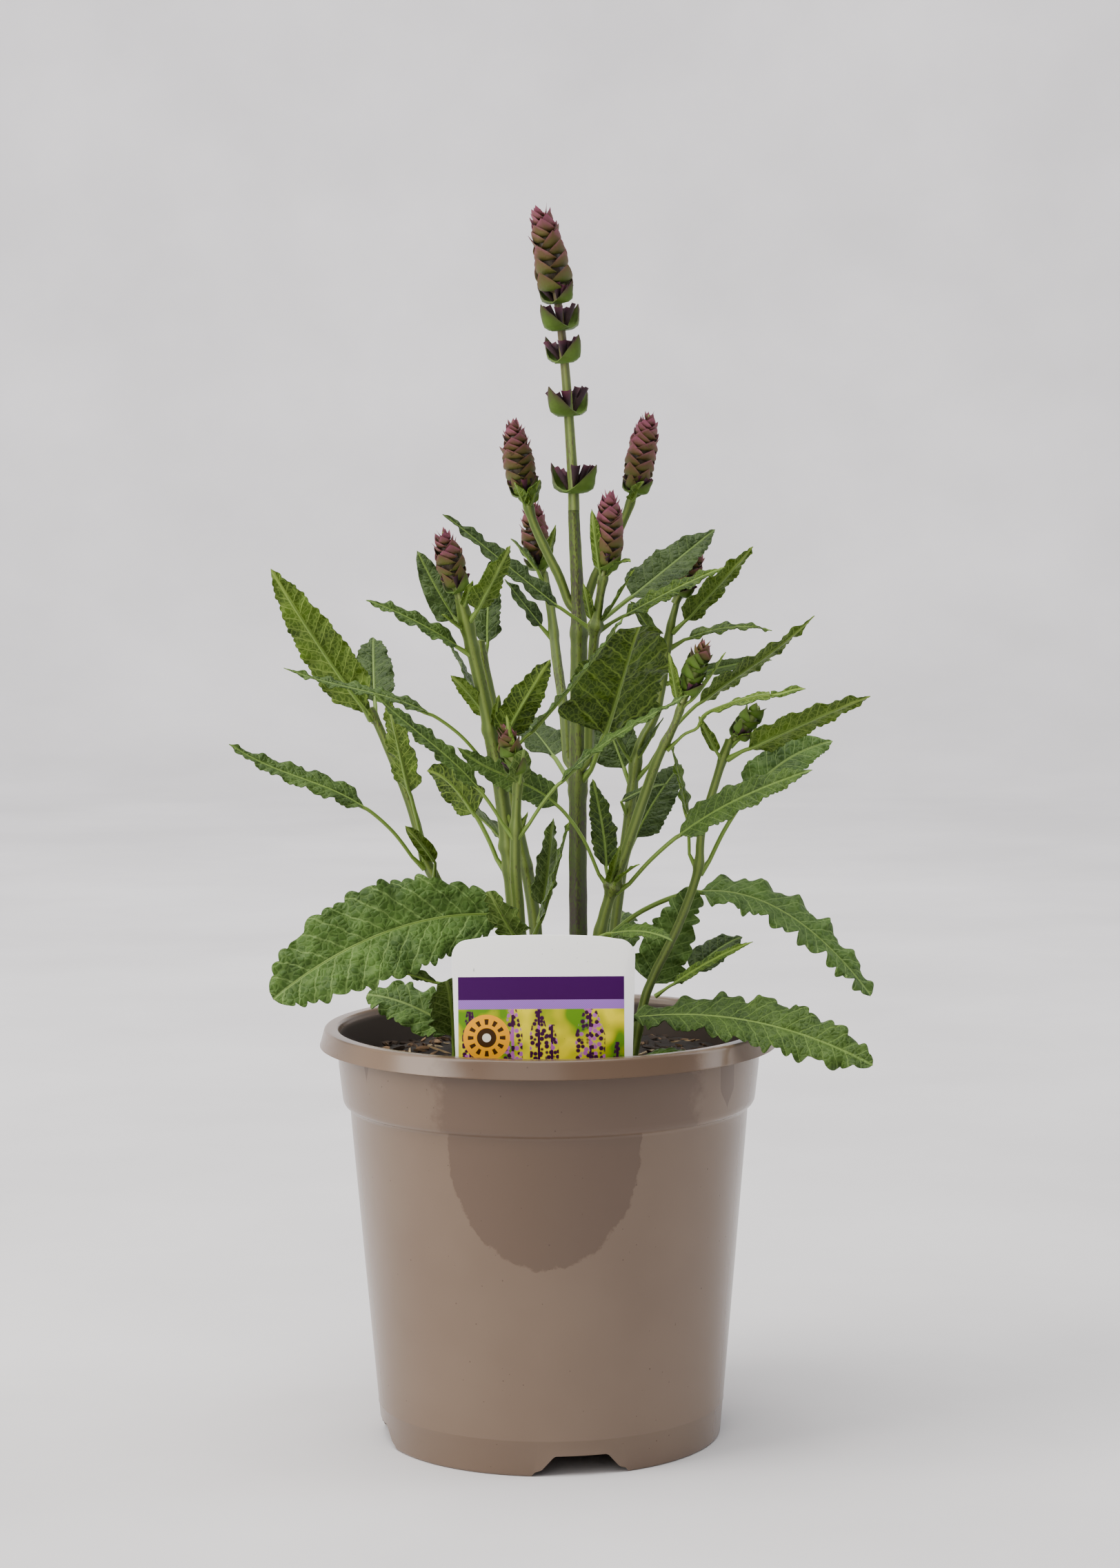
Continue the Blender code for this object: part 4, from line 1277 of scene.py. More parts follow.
@dataclass
class Stem:
    """A square, ribbed stem with a swollen joint wherever a leaf leaves it.

    Attributes:
        name: The piece's name.
        centres: Its line, from the compost to its end, in mm.
        radii: Its radius at each point.
        joints: Points near which it swells.
        replaces: The CAD node it stands for.
    """

    name: str
    centres: Array
    radii: Array
    joints: Array
    replaces: tuple[str, ...] = ()

    @classmethod
    def from_solid(cls, node: Object, joints: Array, parent: Array | None = None) -> "Stem":
        """Read a stem from its CAD node.

        Args:
            node: The CAD node.
            joints: Points near which it swells.
            parent: The line of the stem that it springs from, or None if it is rooted.

        Returns:
            The stem, which starts inside its parent.
        """
        centres, radii = slices(node, 1.5)
        radii = radii * STEM_SLIMMING.get(node.name, 1.0)
        if parent is not None:
            nearest = parent[np.linalg.norm(parent - centres[0], axis=1).argmin()]
            centres = np.vstack([nearest - [0, 0, 4.0], (nearest + centres[0]) / 2 - [0, 0, 1.5],
                                 centres[1:]])
            radii = np.concatenate([[radii[1] * 0.8, radii[1] * 0.95], radii[1:]])
        return cls(f"{node.name}_skin", centres, radii, joints, (node.name,))

    def build(self, skin: Material) -> Object:
        """Build the stem and tie it to the frame.

        Args:
            skin: Its finish.

        Returns:
            The finished piece.
        """
        run = run_along(self.centres)
        at = np.linspace(0, run[-1], max(8, int(run[-1] / 1.3)))
        centre = follow(run, self.centres, at)
        radius = follow(run, self.radii, at)
        for joint in self.joints:
            away = np.linalg.norm(centre - joint, axis=1)
            if away.min() < 8.0:
                peak = at[away.argmin()]
                radius = radius * (1 + 0.17 * np.exp(-((at - peak) / 2.4) ** 2))
        ahead = unit(centre[1] - centre[0])
        last = unit(centre[-1] - centre[-2])
        centre = np.vstack([centre[0] - ahead * 2.2, centre[0] - ahead * 2.0, centre,
                            centre[-1] + last * 0.5])
        radius = np.concatenate([[0], [radius[0]], radius, [0]])
        piece = tube(self.name, centre, steady_sides(centre), radius,
                     lambda a: 0.96 + 0.09 * np.cos(4 * a), around=24)
        piece.data.materials.append(skin)
        settle(piece, self.replaces)
        return piece


def bract_model(skin: Material) -> Object:
    """One spoon-shaped, pointed bract a unit long, a unit wide and a unit deep.

    Args:
        skin: Its finish.

    Returns:
        The model: it leaves its axis at the origin, bulges towards +X and points up +Z.
    """
    model, s, v = sheet("bract_model", 6, 4)
    half = 0.5 * np.minimum(1, (0.10 + s) ** 0.4 * (1 - s) ** 0.95 * 1.95)
    half = np.maximum(half, 0.004)
    out = 1 - (1 - np.minimum(s / 0.45, 1)) ** 2 + 0.35 * np.maximum(s - 0.7, 0)
    out = out - 0.62 * (2 * v * half) ** 2
    points = np.stack([out, v * half, s**1.4], axis=1)
    model.data.vertices.foreach_set("co", points.ravel())
    mark(model, "copy", np.stack([s, s * 0, np.abs(v)], axis=1))
    apply_modifier(model, "SOLIDIFY", thickness=0.05, offset=0.0)
    turn_outwards(model)
    model.data.materials.append(skin)
    return model


def calyx_model(skin: Material) -> Object:
    """One bell-shaped calyx a unit long with five pointed teeth around its mouth.

    Args:
        skin: Its finish.

    Returns:
        The model, opening along +Z.
    """
    model = begin("calyx_model", bpy.ops.mesh.primitive_cylinder_add, vertices=10, radius=0.3,
                  depth=1.0, location=(0, 0, 0.5), end_fill_type="NGON")
    only(model)
    bpy.ops.object.transform_apply(location=True)
    bpy.ops.object.mode_set(mode="EDIT")
    bpy.ops.mesh.select_all(action="DESELECT")
    bpy.ops.object.mode_set(mode="OBJECT")
    for face in model.data.polygons:
        face.select = face.normal.z > 0.9
    bpy.ops.object.mode_set(mode="EDIT")
    bpy.ops.mesh.inset(thickness=0.05)
    bpy.ops.transform.translate(value=(0, 0, -0.55))
    bpy.ops.object.mode_set(mode="OBJECT")
    points = coordinates(model)
    angle = np.arctan2(points[:, 1], points[:, 0])
    outer = np.hypot(points[:, 0], points[:, 1]) > 0.27
    tooth = np.rint(angle / math.tau * 10).astype(int) % 2 == 0
    top = outer & (points[:, 2] > 0.9)
    bottom = points[:, 2] < 0.1
    points[top & tooth] *= (1.32, 1.32, 1.06)
    points[top & ~tooth] *= (1.0, 1.0, 0.6)
    points[bottom] *= (0.35, 0.35, 1.0)
    model.data.vertices.foreach_set("co", points.ravel())
    mark(model, "copy", np.stack([points[:, 2], points[:, 2] * 0, points[:, 2] * 0], axis=1))
    model.data.materials.append(skin)
    return model


def stand(spot: Array, ahead: Array, out: Array, tilt: float, size: Sequence[float]) -> Matrix:
    """Where a copy stands on an axis.

    Args:
        spot: Its foot, in mm.
        ahead: The axis's direction.
        out: The direction it faces, away from the axis.
        tilt: How far it leans outwards, in degrees.
        size: Its thickness, width and length in mm.

    Returns:
        The matrix that takes the model there.
    """
    ahead, out = unit(ahead), np.asarray(out, float)
    out = unit(out - ahead * np.dot(out, ahead))
    lean = math.radians(tilt)
    up = ahead * math.cos(lean) + out * math.sin(lean)
    face = out * math.cos(lean) - ahead * math.sin(lean)
    side = np.cross(up, face)
    matrix = np.eye(4)
    matrix[:3, 0], matrix[:3, 1], matrix[:3, 2] = face * size[0], side * size[1], up * size[2]
    matrix[:3, 3] = spot
    return Matrix(matrix.tolist())


@dataclass
class SpikeSkins:
    """The finishes that a flower spike wears."""

    axis: Material
    heart: Material
    bract: Material
    green_bract: Material
    calyx: Material


@dataclass
class FlowerSpike:
    """A spike: open whorls of calyces in paired bracts, then crowded pairs up to a cone.

    Attributes:
        name: The piece's name.
        line: Its axis in mm.
        radii: Its outer radius along the axis.
        rows_from: Height above the ground at which the crowded pairs start.
        whorls: Height and reach of each open whorl in mm.
        ripe: How far its bracts have flushed, from 0, green, to 1, purple.
        row_length: Length of the lowest crowded bracts in mm.
        row_gap: Distance between the lowest crowded pairs in mm.
        seed: Picks small differences.
        replaces: The CAD node it stands for.
        rng: Draws the small differences.
        run: Length along the axis at each of its points.
        places: Where each kind of copy goes.
        tints: The tint of each copy.
    """

    name: str
    line: Array
    radii: Array
    rows_from: float
    whorls: tuple[tuple[float, float], ...] = ()
    ripe: float = 0.5
    row_length: float = 5.0
    row_gap: float = 2.3
    seed: int = 1
    replaces: tuple[str, ...] = ()
    rng: np.random.Generator = field(init=False)
    run: Array = field(init=False)
    places: dict[str, list[Matrix]] = field(init=False)
    tints: dict[str, list[float]] = field(init=False)

    def build(self, models: dict[str, Object], skins: SpikeSkins) -> Object:
        """Build the spike and tie it to the frame.

        Args:
            models: The bract and calyx models.
            skins: The finishes.

        Returns:
            The finished piece.
        """
        self.rng = np.random.default_rng(self.seed)
        self.run = run_along(self.line)
        self.places = {kind: [] for kind in models}
        self.tints = {kind: [] for kind in models}
        heart = skins.heart if self.ripe > 0 else skins.axis
        pieces = [self._core(skins.axis), self._heart(heart)]
        for index, (height, reach) in enumerate(self.whorls):
            self._whorl(index, height, reach)
        self._rows(len(self.whorls))
        for kind, model in models.items():
            if self.places[kind]:
                pieces.append(copies(f"{self.name}_{kind}", model, self.places[kind],
                                     self.tints[kind]))
        piece = merge(self.name, pieces)
        settle(piece, self.replaces)
        return piece

    def _spot(self, height: float) -> tuple[Array, Array, float, float]:
        """Point, direction, outer radius and run of the axis at a height above the ground.

        Args:
            height: Height above the ground, in mm.

        Returns:
            The four, in mm.
        """
        where = float(np.interp(height, self.line[:, 2], self.run))
        a, b = follow(self.run, self.line, np.array([where, min(where + 0.5, self.run[-1])]))
        return a, unit(b - a + np.array([0, 0, 1e-6])), float(
            np.interp(where, self.run, self.radii)), where

    def _core(self, skin: Material) -> Object:
        """The axis that the bracts sit on.

        Args:
            skin: Its finish.

        Returns:
            The tube.
        """
        at = np.linspace(0, self.run[-1], max(10, int(self.run[-1] / 1.5)))
        centre = follow(self.run, self.line, at)
        outer = np.interp(at, self.run, self.radii)
        slim = self.radii[0] * (1 - 0.45 * at / self.run[-1])
        crowded = centre[:, 2] >= self.rows_from
        radius = np.where(crowded, np.clip(outer * 0.6, 0.3, None), slim)
        down = unit(centre[0] - centre[1])
        centre = np.vstack([centre[0] + down * 3.2, centre[0] + down * 3.0, centre,
                            centre[-1] - down * 0.3])
        radius = np.concatenate([[0], [radius[0]], radius, [0]])
        core = tube(self.name + "_core", centre, steady_sides(centre), radius,
                    lambda a: 0.96 + 0.09 * np.cos(4 * a), around=16)
        core.data.materials.append(skin)
        return core

    def _heart(self, skin: Material) -> Object:
        """The dark mass of young buds behind the crowded bracts.

        Args:
            skin: Its finish.

        Returns:
            The tube.
        """
        start = self._spot(self.rows_from)[3]
        at = np.linspace(start, self.run[-1] - 0.6, 14)
        centre = follow(self.run, self.line, at)
        share = np.linspace(0, 1, 14)
        radius = np.interp(at, self.run, self.radii) * 0.76 * np.minimum(1, 0.35 + share * 6)
        heart = tube(self.name + "_heart", centre, steady_sides(centre),
                     np.concatenate([[0], radius[1:-1], [0]]), around=12)
        heart.data.materials.append(skin)
        return heart

    def _whorl(self, index: int, height: float, reach: float) -> None:
        """One open whorl: two cups on opposite sides, each turned a quarter from the last.

        Args:
            index: The whorl's number from below.
            height: Its height above the ground, in mm.
            reach: How far it stands out, in mm.
        """
        spot, ahead, _, _ = self._spot(height)
        for side in range(2):
            angle = -math.pi * 0.25 - index * math.pi / 2 + side * math.pi
            angle += self.rng.uniform(-0.12, 0.12)
            out = np.array([math.cos(angle), math.sin(angle), 0.0])
            length = reach * self.rng.uniform(1.35, 1.62)
            self.places["green"].append(stand(spot + out * 1.0, ahead, out, self.rng.uniform(2, 9),
                                              (reach, reach * 1.3, length)))
            self.tints["green"].append(self.rng.uniform(0.3, 0.9))
            for turned in (-0.72, -0.05, 0.62):
                aim = angle + turned + self.rng.uniform(-0.08, 0.08)
                out = np.array([math.cos(aim), math.sin(aim), 0.0])
                self.places["calyx"].append(stand(
                    spot + out * 1.5 + ahead * 0.5, ahead, out, self.rng.uniform(18, 34),
                    (reach * 0.62, reach * 0.62, reach * self.rng.uniform(1.15, 1.4))))
                self.tints["calyx"].append(self.rng.uniform(0.0, 1.0))

    def _rows(self, first: int) -> None:
        """The crowded pairs of bracts, smaller and closer towards the tip.

        Args:
            first: The number of the lowest pair, which sets the way it faces.
        """
        height, level, top = self.rows_from, first, self.line[-1, 2]
        while height < top - 1.4:
            share = (height - self.rows_from) / (top - self.rows_from)
            spot, ahead, size, _ = self._spot(height)
            size = max(size, 1.3)
            for side in range(2 if share < 0.5 else 3):
                angle = -math.pi * 0.25 - level * math.pi / 2 + side * math.tau / (
                    2 if share < 0.5 else 3)
                angle += self.rng.uniform(-0.2, 0.2)
                out = np.array([math.cos(angle), math.sin(angle), 0.0])
                length = self.row_length * (1 - 0.5 * share) * self.rng.uniform(0.9, 1.12)
                tilt = 17 - 8 * share + self.rng.uniform(-5, 6)
                kind = "green" if share < -self.ripe * 2.2 + 0.1 else "bract"
                self.places[kind].append(stand(
                    spot + out * size * 0.42, ahead, out, tilt,
                    (size * 0.48, size * self.rng.uniform(1.6, 1.95), length * 1.12)))
                self.tints[kind].append(float(np.clip(
                    self.ripe + share - 0.3 + self.rng.uniform(-0.22, 0.22), 0, 1)))
            height += self.row_gap * (1 - 0.6 * share)
            level += 1


# ---------------------------------------------------------------- pot, compost and label

@dataclass
class NurseryPot:
    """Round nursery pot with a rolled rim, a stepped collar and a notched foot.

    Attributes:
        low: The pot's lowest corner in metres; not used.
        high: Its highest corner in metres.
        base: Radius of the foot, in mm like every length below.
        body_top: Height of the body under the collar's step.
        body_radius: Its radius there.
        collar: Radius of the collar under the rim.
        wall: Thickness of the wall.
        floor: Height of the floor's underside.
        foot_width: Width of the ring that it stands on.
        first_notch: Where the first drain notch lies, in degrees.
        hole_radius: Radius of the drain holes.
        hole_inset: How far their middles lie inside the foot's edge.
    """

    low: Vector
    high: Vector
    base: float = 63.4
    body_top: float = 124.5
    body_radius: float = 73.9
    collar: float = 78.5
    wall: float = 1.4
    floor: float = 9.0
    foot_width: float = 2.6
    first_notch: float = -80.1
    hole_radius: float = 5.0
    hole_inset: float = 15.0

    def _outline(self) -> list[tuple[float, float]]:
        """The closed outline of the wall as (radius, height) in mm.

        Returns:
            Its points, from the foot up the outside and down the inside.
        """
        rim, top, wall = self.high.y / MM, self.high.z / MM, self.wall
        seam = self.base + (self.body_radius - self.base) * 13.2 / self.body_top
        outside = [(self.base - 0.8, 0), (self.base - 0.2, 0.25), (self.base + 0.03, 0.9),
                   (seam - 0.05, 12.6), (seam + 0.16, 13.0), (seam + 0.16, 13.4),
                   (seam + 0.1, 13.9), ((seam + self.body_radius) / 2 - 0.6, 60.0),
                   (self.body_radius - 0.35, 118.0), (self.body_radius, 123.2),
                   (self.body_radius + 0.25, 124.2), (self.body_radius + 1.0, 124.75),
                   (self.body_radius + 2.0, 125.3), (self.body_radius + 2.6, 126.4),
                   (self.body_radius + 2.85, 128.0), (self.collar - 0.5, 139.0),
                   (self.collar - 0.05, 146.5), (self.collar, top - wall - 1.2),
                   (self.collar + 0.5, top - wall - 0.3), (self.collar + 1.3, top - wall)]
        skirt = [(rim - 1.5 - wall - 0.5, top - wall), (rim - 1.5 - wall, top - wall - 0.5),
                 (rim - wall, top - 6.5), (rim - wall + 0.3, top - 6.7), (rim - 0.35, top - 6.7),
                 (rim, top - 6.5), (rim - 0.02, top - 6.3), (rim - 0.25, top - 5.9),
                 (rim - 1.5, top - 1.25), (rim - 1.58, top - 1.0), (rim - 1.75, top - 0.5),
                 (rim - 2.1, top - 0.16), (rim - 2.5, top - 0.03), (rim - 2.75, top),
                 (self.collar + 0.6, top), (self.collar + 0.3, top - 0.05),
                 (self.collar - 0.1, top - 0.3), (self.collar - 0.35, top - 0.7),
                 (self.collar - 0.5, top - 1.2), (self.collar - 0.62, top - 1.8)]
        inside = [(self.collar - wall - 0.1, top - 4.0), (self.collar - wall - 1.2, 130.0),
                  (self.body_radius + 0.9, 125.8), (self.body_radius - wall, 123.4),
                  (self.base + 0.9 - wall, self.floor + wall + 1.2),
                  (self.base - wall - 1.2, self.floor + wall)]
        under = [(0.0, self.floor + wall), (0.0, self.floor),
                 (self.base - self.foot_width - 0.8, self.floor),
                 (self.base - self.foot_width, self.floor - 0.8),
                 (self.base - self.foot_width, 0.5), (self.base - self.foot_width + 0.5, 0.0)]
        return outside + skirt + inside + under

    def build(self, plastic: Material) -> Object:
        """Build the pot and tie it to the frame.

        Args:
            plastic: Its finish.

        Returns:
            The finished pot.
        """
        outline = self._outline()
        pot = begin("nursery_pot", bpy.ops.mesh.primitive_circle_add, vertices=len(outline),
                    radius=1)
        place(pot, np.array([(radius, 0.0, height) for radius, height in outline]))
        with editing(pot):
            bpy.ops.mesh.spin(steps=180, angle=math.tau, center=(0, 0, 0), axis=(0, 0, 1))
            bpy.ops.mesh.select_all(action="SELECT")
            bpy.ops.mesh.remove_doubles(threshold=0.00001)
            bpy.ops.mesh.normals_make_consistent(inside=False)
        for index in range(4):
            turn = math.radians(self.first_notch + 90 * index)
            for cutter in (self._notch(turn), self._hole(turn)):
                apply_modifier(pot, "BOOLEAN", operation="DIFFERENCE", object=cutter,
                               solver="EXACT")
                bpy.data.objects.remove(cutter, do_unlink=True)
        pot.data.materials.clear()
        pot.data.materials.append(plastic)
        settle(pot, ("pot",))
        return pot

    def _notch(self, turn: float) -> Object:
        """A cutter for one drain notch in the foot.

        Args:
            turn: Which way the notch faces, in radians.

        Returns:
            The cutter.
        """
        right = [(20.0, -3.0), (18.0, -0.5), (17.2, 0.9), (16.4, 1.7), (15.0, 2.1), (14.0, 2.6),
                 (11.4, 5.6), (10.2, 7.0), (9.2, 7.6)]
        outline = right + [(-y, z) for y, z in reversed(right)]
        cutter, shape, near = prism("notch_cutter", outline)
        depth = np.where(near, self.base - 9.0, self.base + 9.0)
        place(cutter, np.stack([depth, shape[:, 0], shape[:, 1]], axis=1))
        cutter.data.transform(Matrix.Rotation(turn, 4, "Z"))
        turn_outwards(cutter)
        return cutter

    def _hole(self, turn: float) -> Object:
        """A cutter for one drain hole in the floor.

        Args:
            turn: Which way the hole lies, in radians.

        Returns:
            The cutter.
        """
        reach = (self.base - self.hole_inset) * MM
        return begin("hole_cutter", bpy.ops.mesh.primitive_cylinder_add, vertices=32,
                     radius=self.hole_radius * MM, depth=8 * self.wall * MM,
                     location=(reach * math.cos(turn), reach * math.sin(turn), self.floor * MM))


@dataclass
class CompostBed:
    """Bark compost: one crumbled mass with loose chips and straws on its surface.

    Attributes:
        low: The compost's lowest corner in metres.
        high: Its highest corner in metres.
        keep_clear: Feet of the stems on its surface, in mm, where no large chip lies.
    """

    low: Vector
    high: Vector
    keep_clear: Array
    chips: int = 520
    straws: int = 26

    def _surface(self, x: Array, y: Array) -> Array:
        """Height of the compost's surface in mm.

        Args:
            x: Places along X, in mm.
            y: Places along Y, in mm.

        Returns:
            The height at each place.
        """
        radius = np.hypot(x, y)
        flat = np.stack([x, y, x * 0], axis=1)
        lumps = value_noise(flat, 9.0, 3) * 1.0 + value_noise(flat, 3.4, 5) * 0.8
        lumps += value_noise(flat, 1.5, 7) * 0.45
        return self.high.z / MM - 0.6 + lumps - 2.0 * fade(52, 76, radius)

    def build(self, crumb: Material, chip: Material, straw: Material) -> None:
        """Build the bed and its loose bits.

        Args:
            crumb: The mass's finish.
            chip: The dark chips' finish.
            straw: The straw-coloured splinters' finish.
        """
        self._mass(crumb)
        self._bits(chip, straw)

    def _mass(self, crumb: Material) -> None:
        """The mass itself: a sphere's rings laid out as top, side and underside.

        Args:
            crumb: Its finish.
        """
        top, low = self.high.z / MM, self.low.z / MM
        outer = self.high.x / MM
        radii = [0.0, *np.linspace(1.5, outer, 56), outer - 1.4, 71.6, 62.6, 61.0, 0.0]
        heights = [top] * 57 + [top - 9.0, 122.0, low + 1.5, low, low]
        mass, ring, angle = sphere_rings("compost_bed", len(radii), 150)
        ring = len(radii) - 1 - ring
        radius, height = np.array(radii)[ring], np.array(heights)[ring]
        x, y = radius * np.cos(angle), radius * np.sin(angle)
        surface = self._surface(x, y)
        height = np.where(ring <= 56, surface, height)
        place(mass, np.stack([x, y, height], axis=1))
        mark(mass, "copy", np.stack([x * 0, np.full(len(x), 0.12), x * 0], axis=1))
        mass.data.materials.append(crumb)
        settle(mass, ("compost",))

    def _bits(self, chip: Material, straw: Material) -> None:
        """Loose chips and straws strewn over the surface.

        Args:
            chip: The dark chips' finish.
            straw: The splinters' finish.
        """
        rng = np.random.default_rng(11)
        model = begin("chip_model", bpy.ops.mesh.primitive_ico_sphere_add, subdivisions=1,
                      radius=0.5)
        points = coordinates(model) * (1 + 0.25 * rng.uniform(-1, 1, (12, 1)))
        model.data.vertices.foreach_set("co", points.ravel())
        mark(model, "copy", np.zeros((len(points), 3)))
        model.data.materials.append(chip)
        places = [self._strewn(rng, (2.0, 8.5), (1.0, 3.0), (0.7, 1.8)) for _ in range(self.chips)]
        chips = copies("compost_chips", model, places, rng.uniform(0.0, 0.85, len(places)))
        model.data.materials.clear()
        model.data.materials.append(straw)
        places = [self._strewn(rng, (9.0, 19.0), (0.7, 1.3), (0.5, 0.9))
                  for _ in range(self.straws)]
        straws = copies("compost_straws", model, places, rng.uniform(0.3, 1.0, len(places)))
        bpy.data.objects.remove(model, do_unlink=True)
        piece = merge("compost_bits", [chips, straws])
        settle(piece)

    def _strewn(self, rng: np.random.Generator, length: tuple[float, float],
                width: tuple[float, float], height: tuple[float, float]) -> Matrix:
        """A random place on the surface for a bit of a random size.

        Args:
            rng: Draws the place and the size.
            length: Least and greatest length, in mm.
            width: Least and greatest width, in mm.
            height: Least and greatest thickness, in mm.

        Returns:
            The matrix that takes the model there.
        """
        while True:
            radius, angle = 73.0 * math.sqrt(rng.uniform()), rng.uniform(0, math.tau)
            spot = np.array([radius * math.cos(angle), radius * math.sin(angle)])
            size = [rng.uniform(*length), rng.uniform(*width), rng.uniform(*height)]
            near = np.linalg.norm(self.keep_clear - spot, axis=1).min()
            if near > 2.5 + size[0] * 0.5 and radius + size[0] * 0.5 < 75.5:
                break
        z = float(self._surface(spot[:1], spot[1:])[0]) + size[2] * 0.3
        turn = (Matrix.Rotation(rng.uniform(0, math.tau), 4, "Z")
                @ Matrix.Rotation(rng.uniform(-0.3, 0.3), 4, "Y")
                @ Matrix.Rotation(rng.uniform(0, math.tau), 4, "X"))
        return Matrix.Translation((spot[0], spot[1], z)) @ turn @ Matrix.Diagonal((*size, 1))


@dataclass
class PlantLabel:
    """A rounded plastic card on a stake.

    Attributes:
        low: The label's lowest corner in metres.
        high: Its highest corner in metres.
        corner: Radius of the card's upper corners, in mm.
        crown: Rise of its top edge.
        taper: How much narrower each side is at the rim.
        rim: Height of the pot's rim.
    """

    low: Vector
    high: Vector
    corner: float = 6.0
    crown: float = 1.6
    taper: float = 1.0
    rim: float = 153.5

    def build(self, card: Material) -> Object:
        """Build the label and tie it to the frame.

        Args:
            card: Its printed finish.

        Returns:
            The finished label.
        """
        left, right = self.low.x / MM, self.high.x / MM
        top, middle = self.high.z / MM, (left + right) / 2
        half = (right - left) / 2
        shoulder = top - self.crown
        side = [(5.4, self.low.z / MM), (half * 0.55, self.low.z / MM + 13.0),
                (half - self.taper, self.rim - 20.0), (half - self.taper, self.rim)]
        for step in range(9):
            angle = step / 8 * math.pi / 2
            side.append((half - self.corner * (1 - math.cos(angle)),
                         shoulder - self.corner * (1 - math.sin(angle))))
        for share in (0.62, 0.4, 0.2):
            side.append((half * share, shoulder + self.crown * (1 - share**2)))
        outline = side + [(0.0, top)] + [(-x, z) for x, z in reversed(side)]
        label, shape, near = prism("printed_label", outline)
        face = np.where(near, self.low.y / MM, self.high.y / MM)
        place(label, np.stack([shape[:, 0] + middle, face, shape[:, 1]], axis=1))
        turn_outwards(label)
        apply_modifier(label, "BEVEL", width=0.15 * MM, segments=2, limit_method="ANGLE")
        label.data.materials.append(card)
        settle(label, ("plant_label",))
        return label


# ---------------------------------------------------------------- the plant

class Look(Enum):
    """Which pair of skins a leaf wears."""

    YOUNG = "bright, net-veined"
    GREY = "grey-green, wrinkled"
    DARK = "deep green, old"
    # The shade look is darker, greyer skins: painted shade on leaves inside and behind the plant
    SHADE = "pale, in the middle of the plant"
    # The deep look is the young skins darkened: painted shade on leaves that lie in shadow
    DEEP = "deep yellow-green, strongly veined"


# The look and margin of each large leaf; one that isn't listed is young and serrate
LEAF_LOOKS = {name: finish for finish, names in {
    (Look.DEEP, Margin.CRENATE): ("leaf_centre_front",),
    (Look.DEEP, Margin.SERRATE): ("leaf_front_left_low", "leaf_front_left_broad",
                                   "leaf_front_right_low"),
    (Look.DARK, Margin.CRENATE): ("leaf_front_left_basal", "leaf_centre_basal",
        "leaf_far_left_low", "leaf_far_right_upright"),
    (Look.GREY, Margin.CRENATE): ("leaf_front_right_rim",),
    (Look.DARK, Margin.SERRATE): ("leaf_far_right_back",),
    (Look.GREY, Margin.SERRATE): ("leaf_front_short_left", "leaf_front_short_right",
        "leaf_front_left_out", "leaf_front_left_long", "leaf_front_left_edge",
        "leaf_front_right_left", "leaf_front_right_out", "leaf_far_left_long"),
    (Look.SHADE, Margin.PLAIN): ("leaf_front_left_up", "leaf_shoot_right_long",
        "leaf_shoot_low_left"),
    (Look.SHADE, Margin.SERRATE): ("leaf_centre_back_right", "leaf_far_left_back",
        "leaf_back_left_up", "leaf_centre_back_left"),
}.items() for name in names}

# How far the bracts of each spike have flushed purple
RIPENESS = {"spike_far_right": -0.37, "spike_front_short": -0.12, "spike_front_right": -0.25,
            "spike_centre": 0.1, "spike_back_right": 0.1, "spike_front_left": 0.12,
            "spike_shoot_high_right": 0.2, "spike_shoot_high_left": 0.08}

# Height above the ground and reach of each open whorl on the tall middle spike
CENTRE_WHORLS = ((350.2, 7.6), (378.4, 7.8), (397.8, 6.8), (409.6, 7.0), (419.4, 5.8))

# Half widths in mm at the first three knots of leaves whose blade reaches down to the stem
LEAF_SHOULDERS = {"leaf_front_left_basal": (2.0, 8.0, 11.5), "leaf_far_left_up": (1.2, 2.0, 3.0),
                  "leaf_front_right_rim": (1.2, 2.6, 6.0), "leaf_front_left_broad": (1.2, 2.0, 3.0)}


@dataclass(frozen=True)
class SmallLeaf:
    """A small leaf, bud leaf or bract that only the looks need.

    Attributes:
        name: The piece's name.
        foot: Where it starts, as x, y and height above the compost in mm.
        tip: Where it ends.
        width: Its full width.
        look: The skins it wears.
        bend: Rise at a third and two thirds of its length.
        roll: Turn about its own line in degrees.
        margin: How its edge is cut.
    """

    name: str
    foot: tuple[float, float, float]
    tip: tuple[float, float, float]
    width: float
    look: Look = Look.YOUNG
    bend: tuple[float, float] = (0.0, 0.0)
    roll: float = 0.0
    margin: Margin = Margin.PLAIN


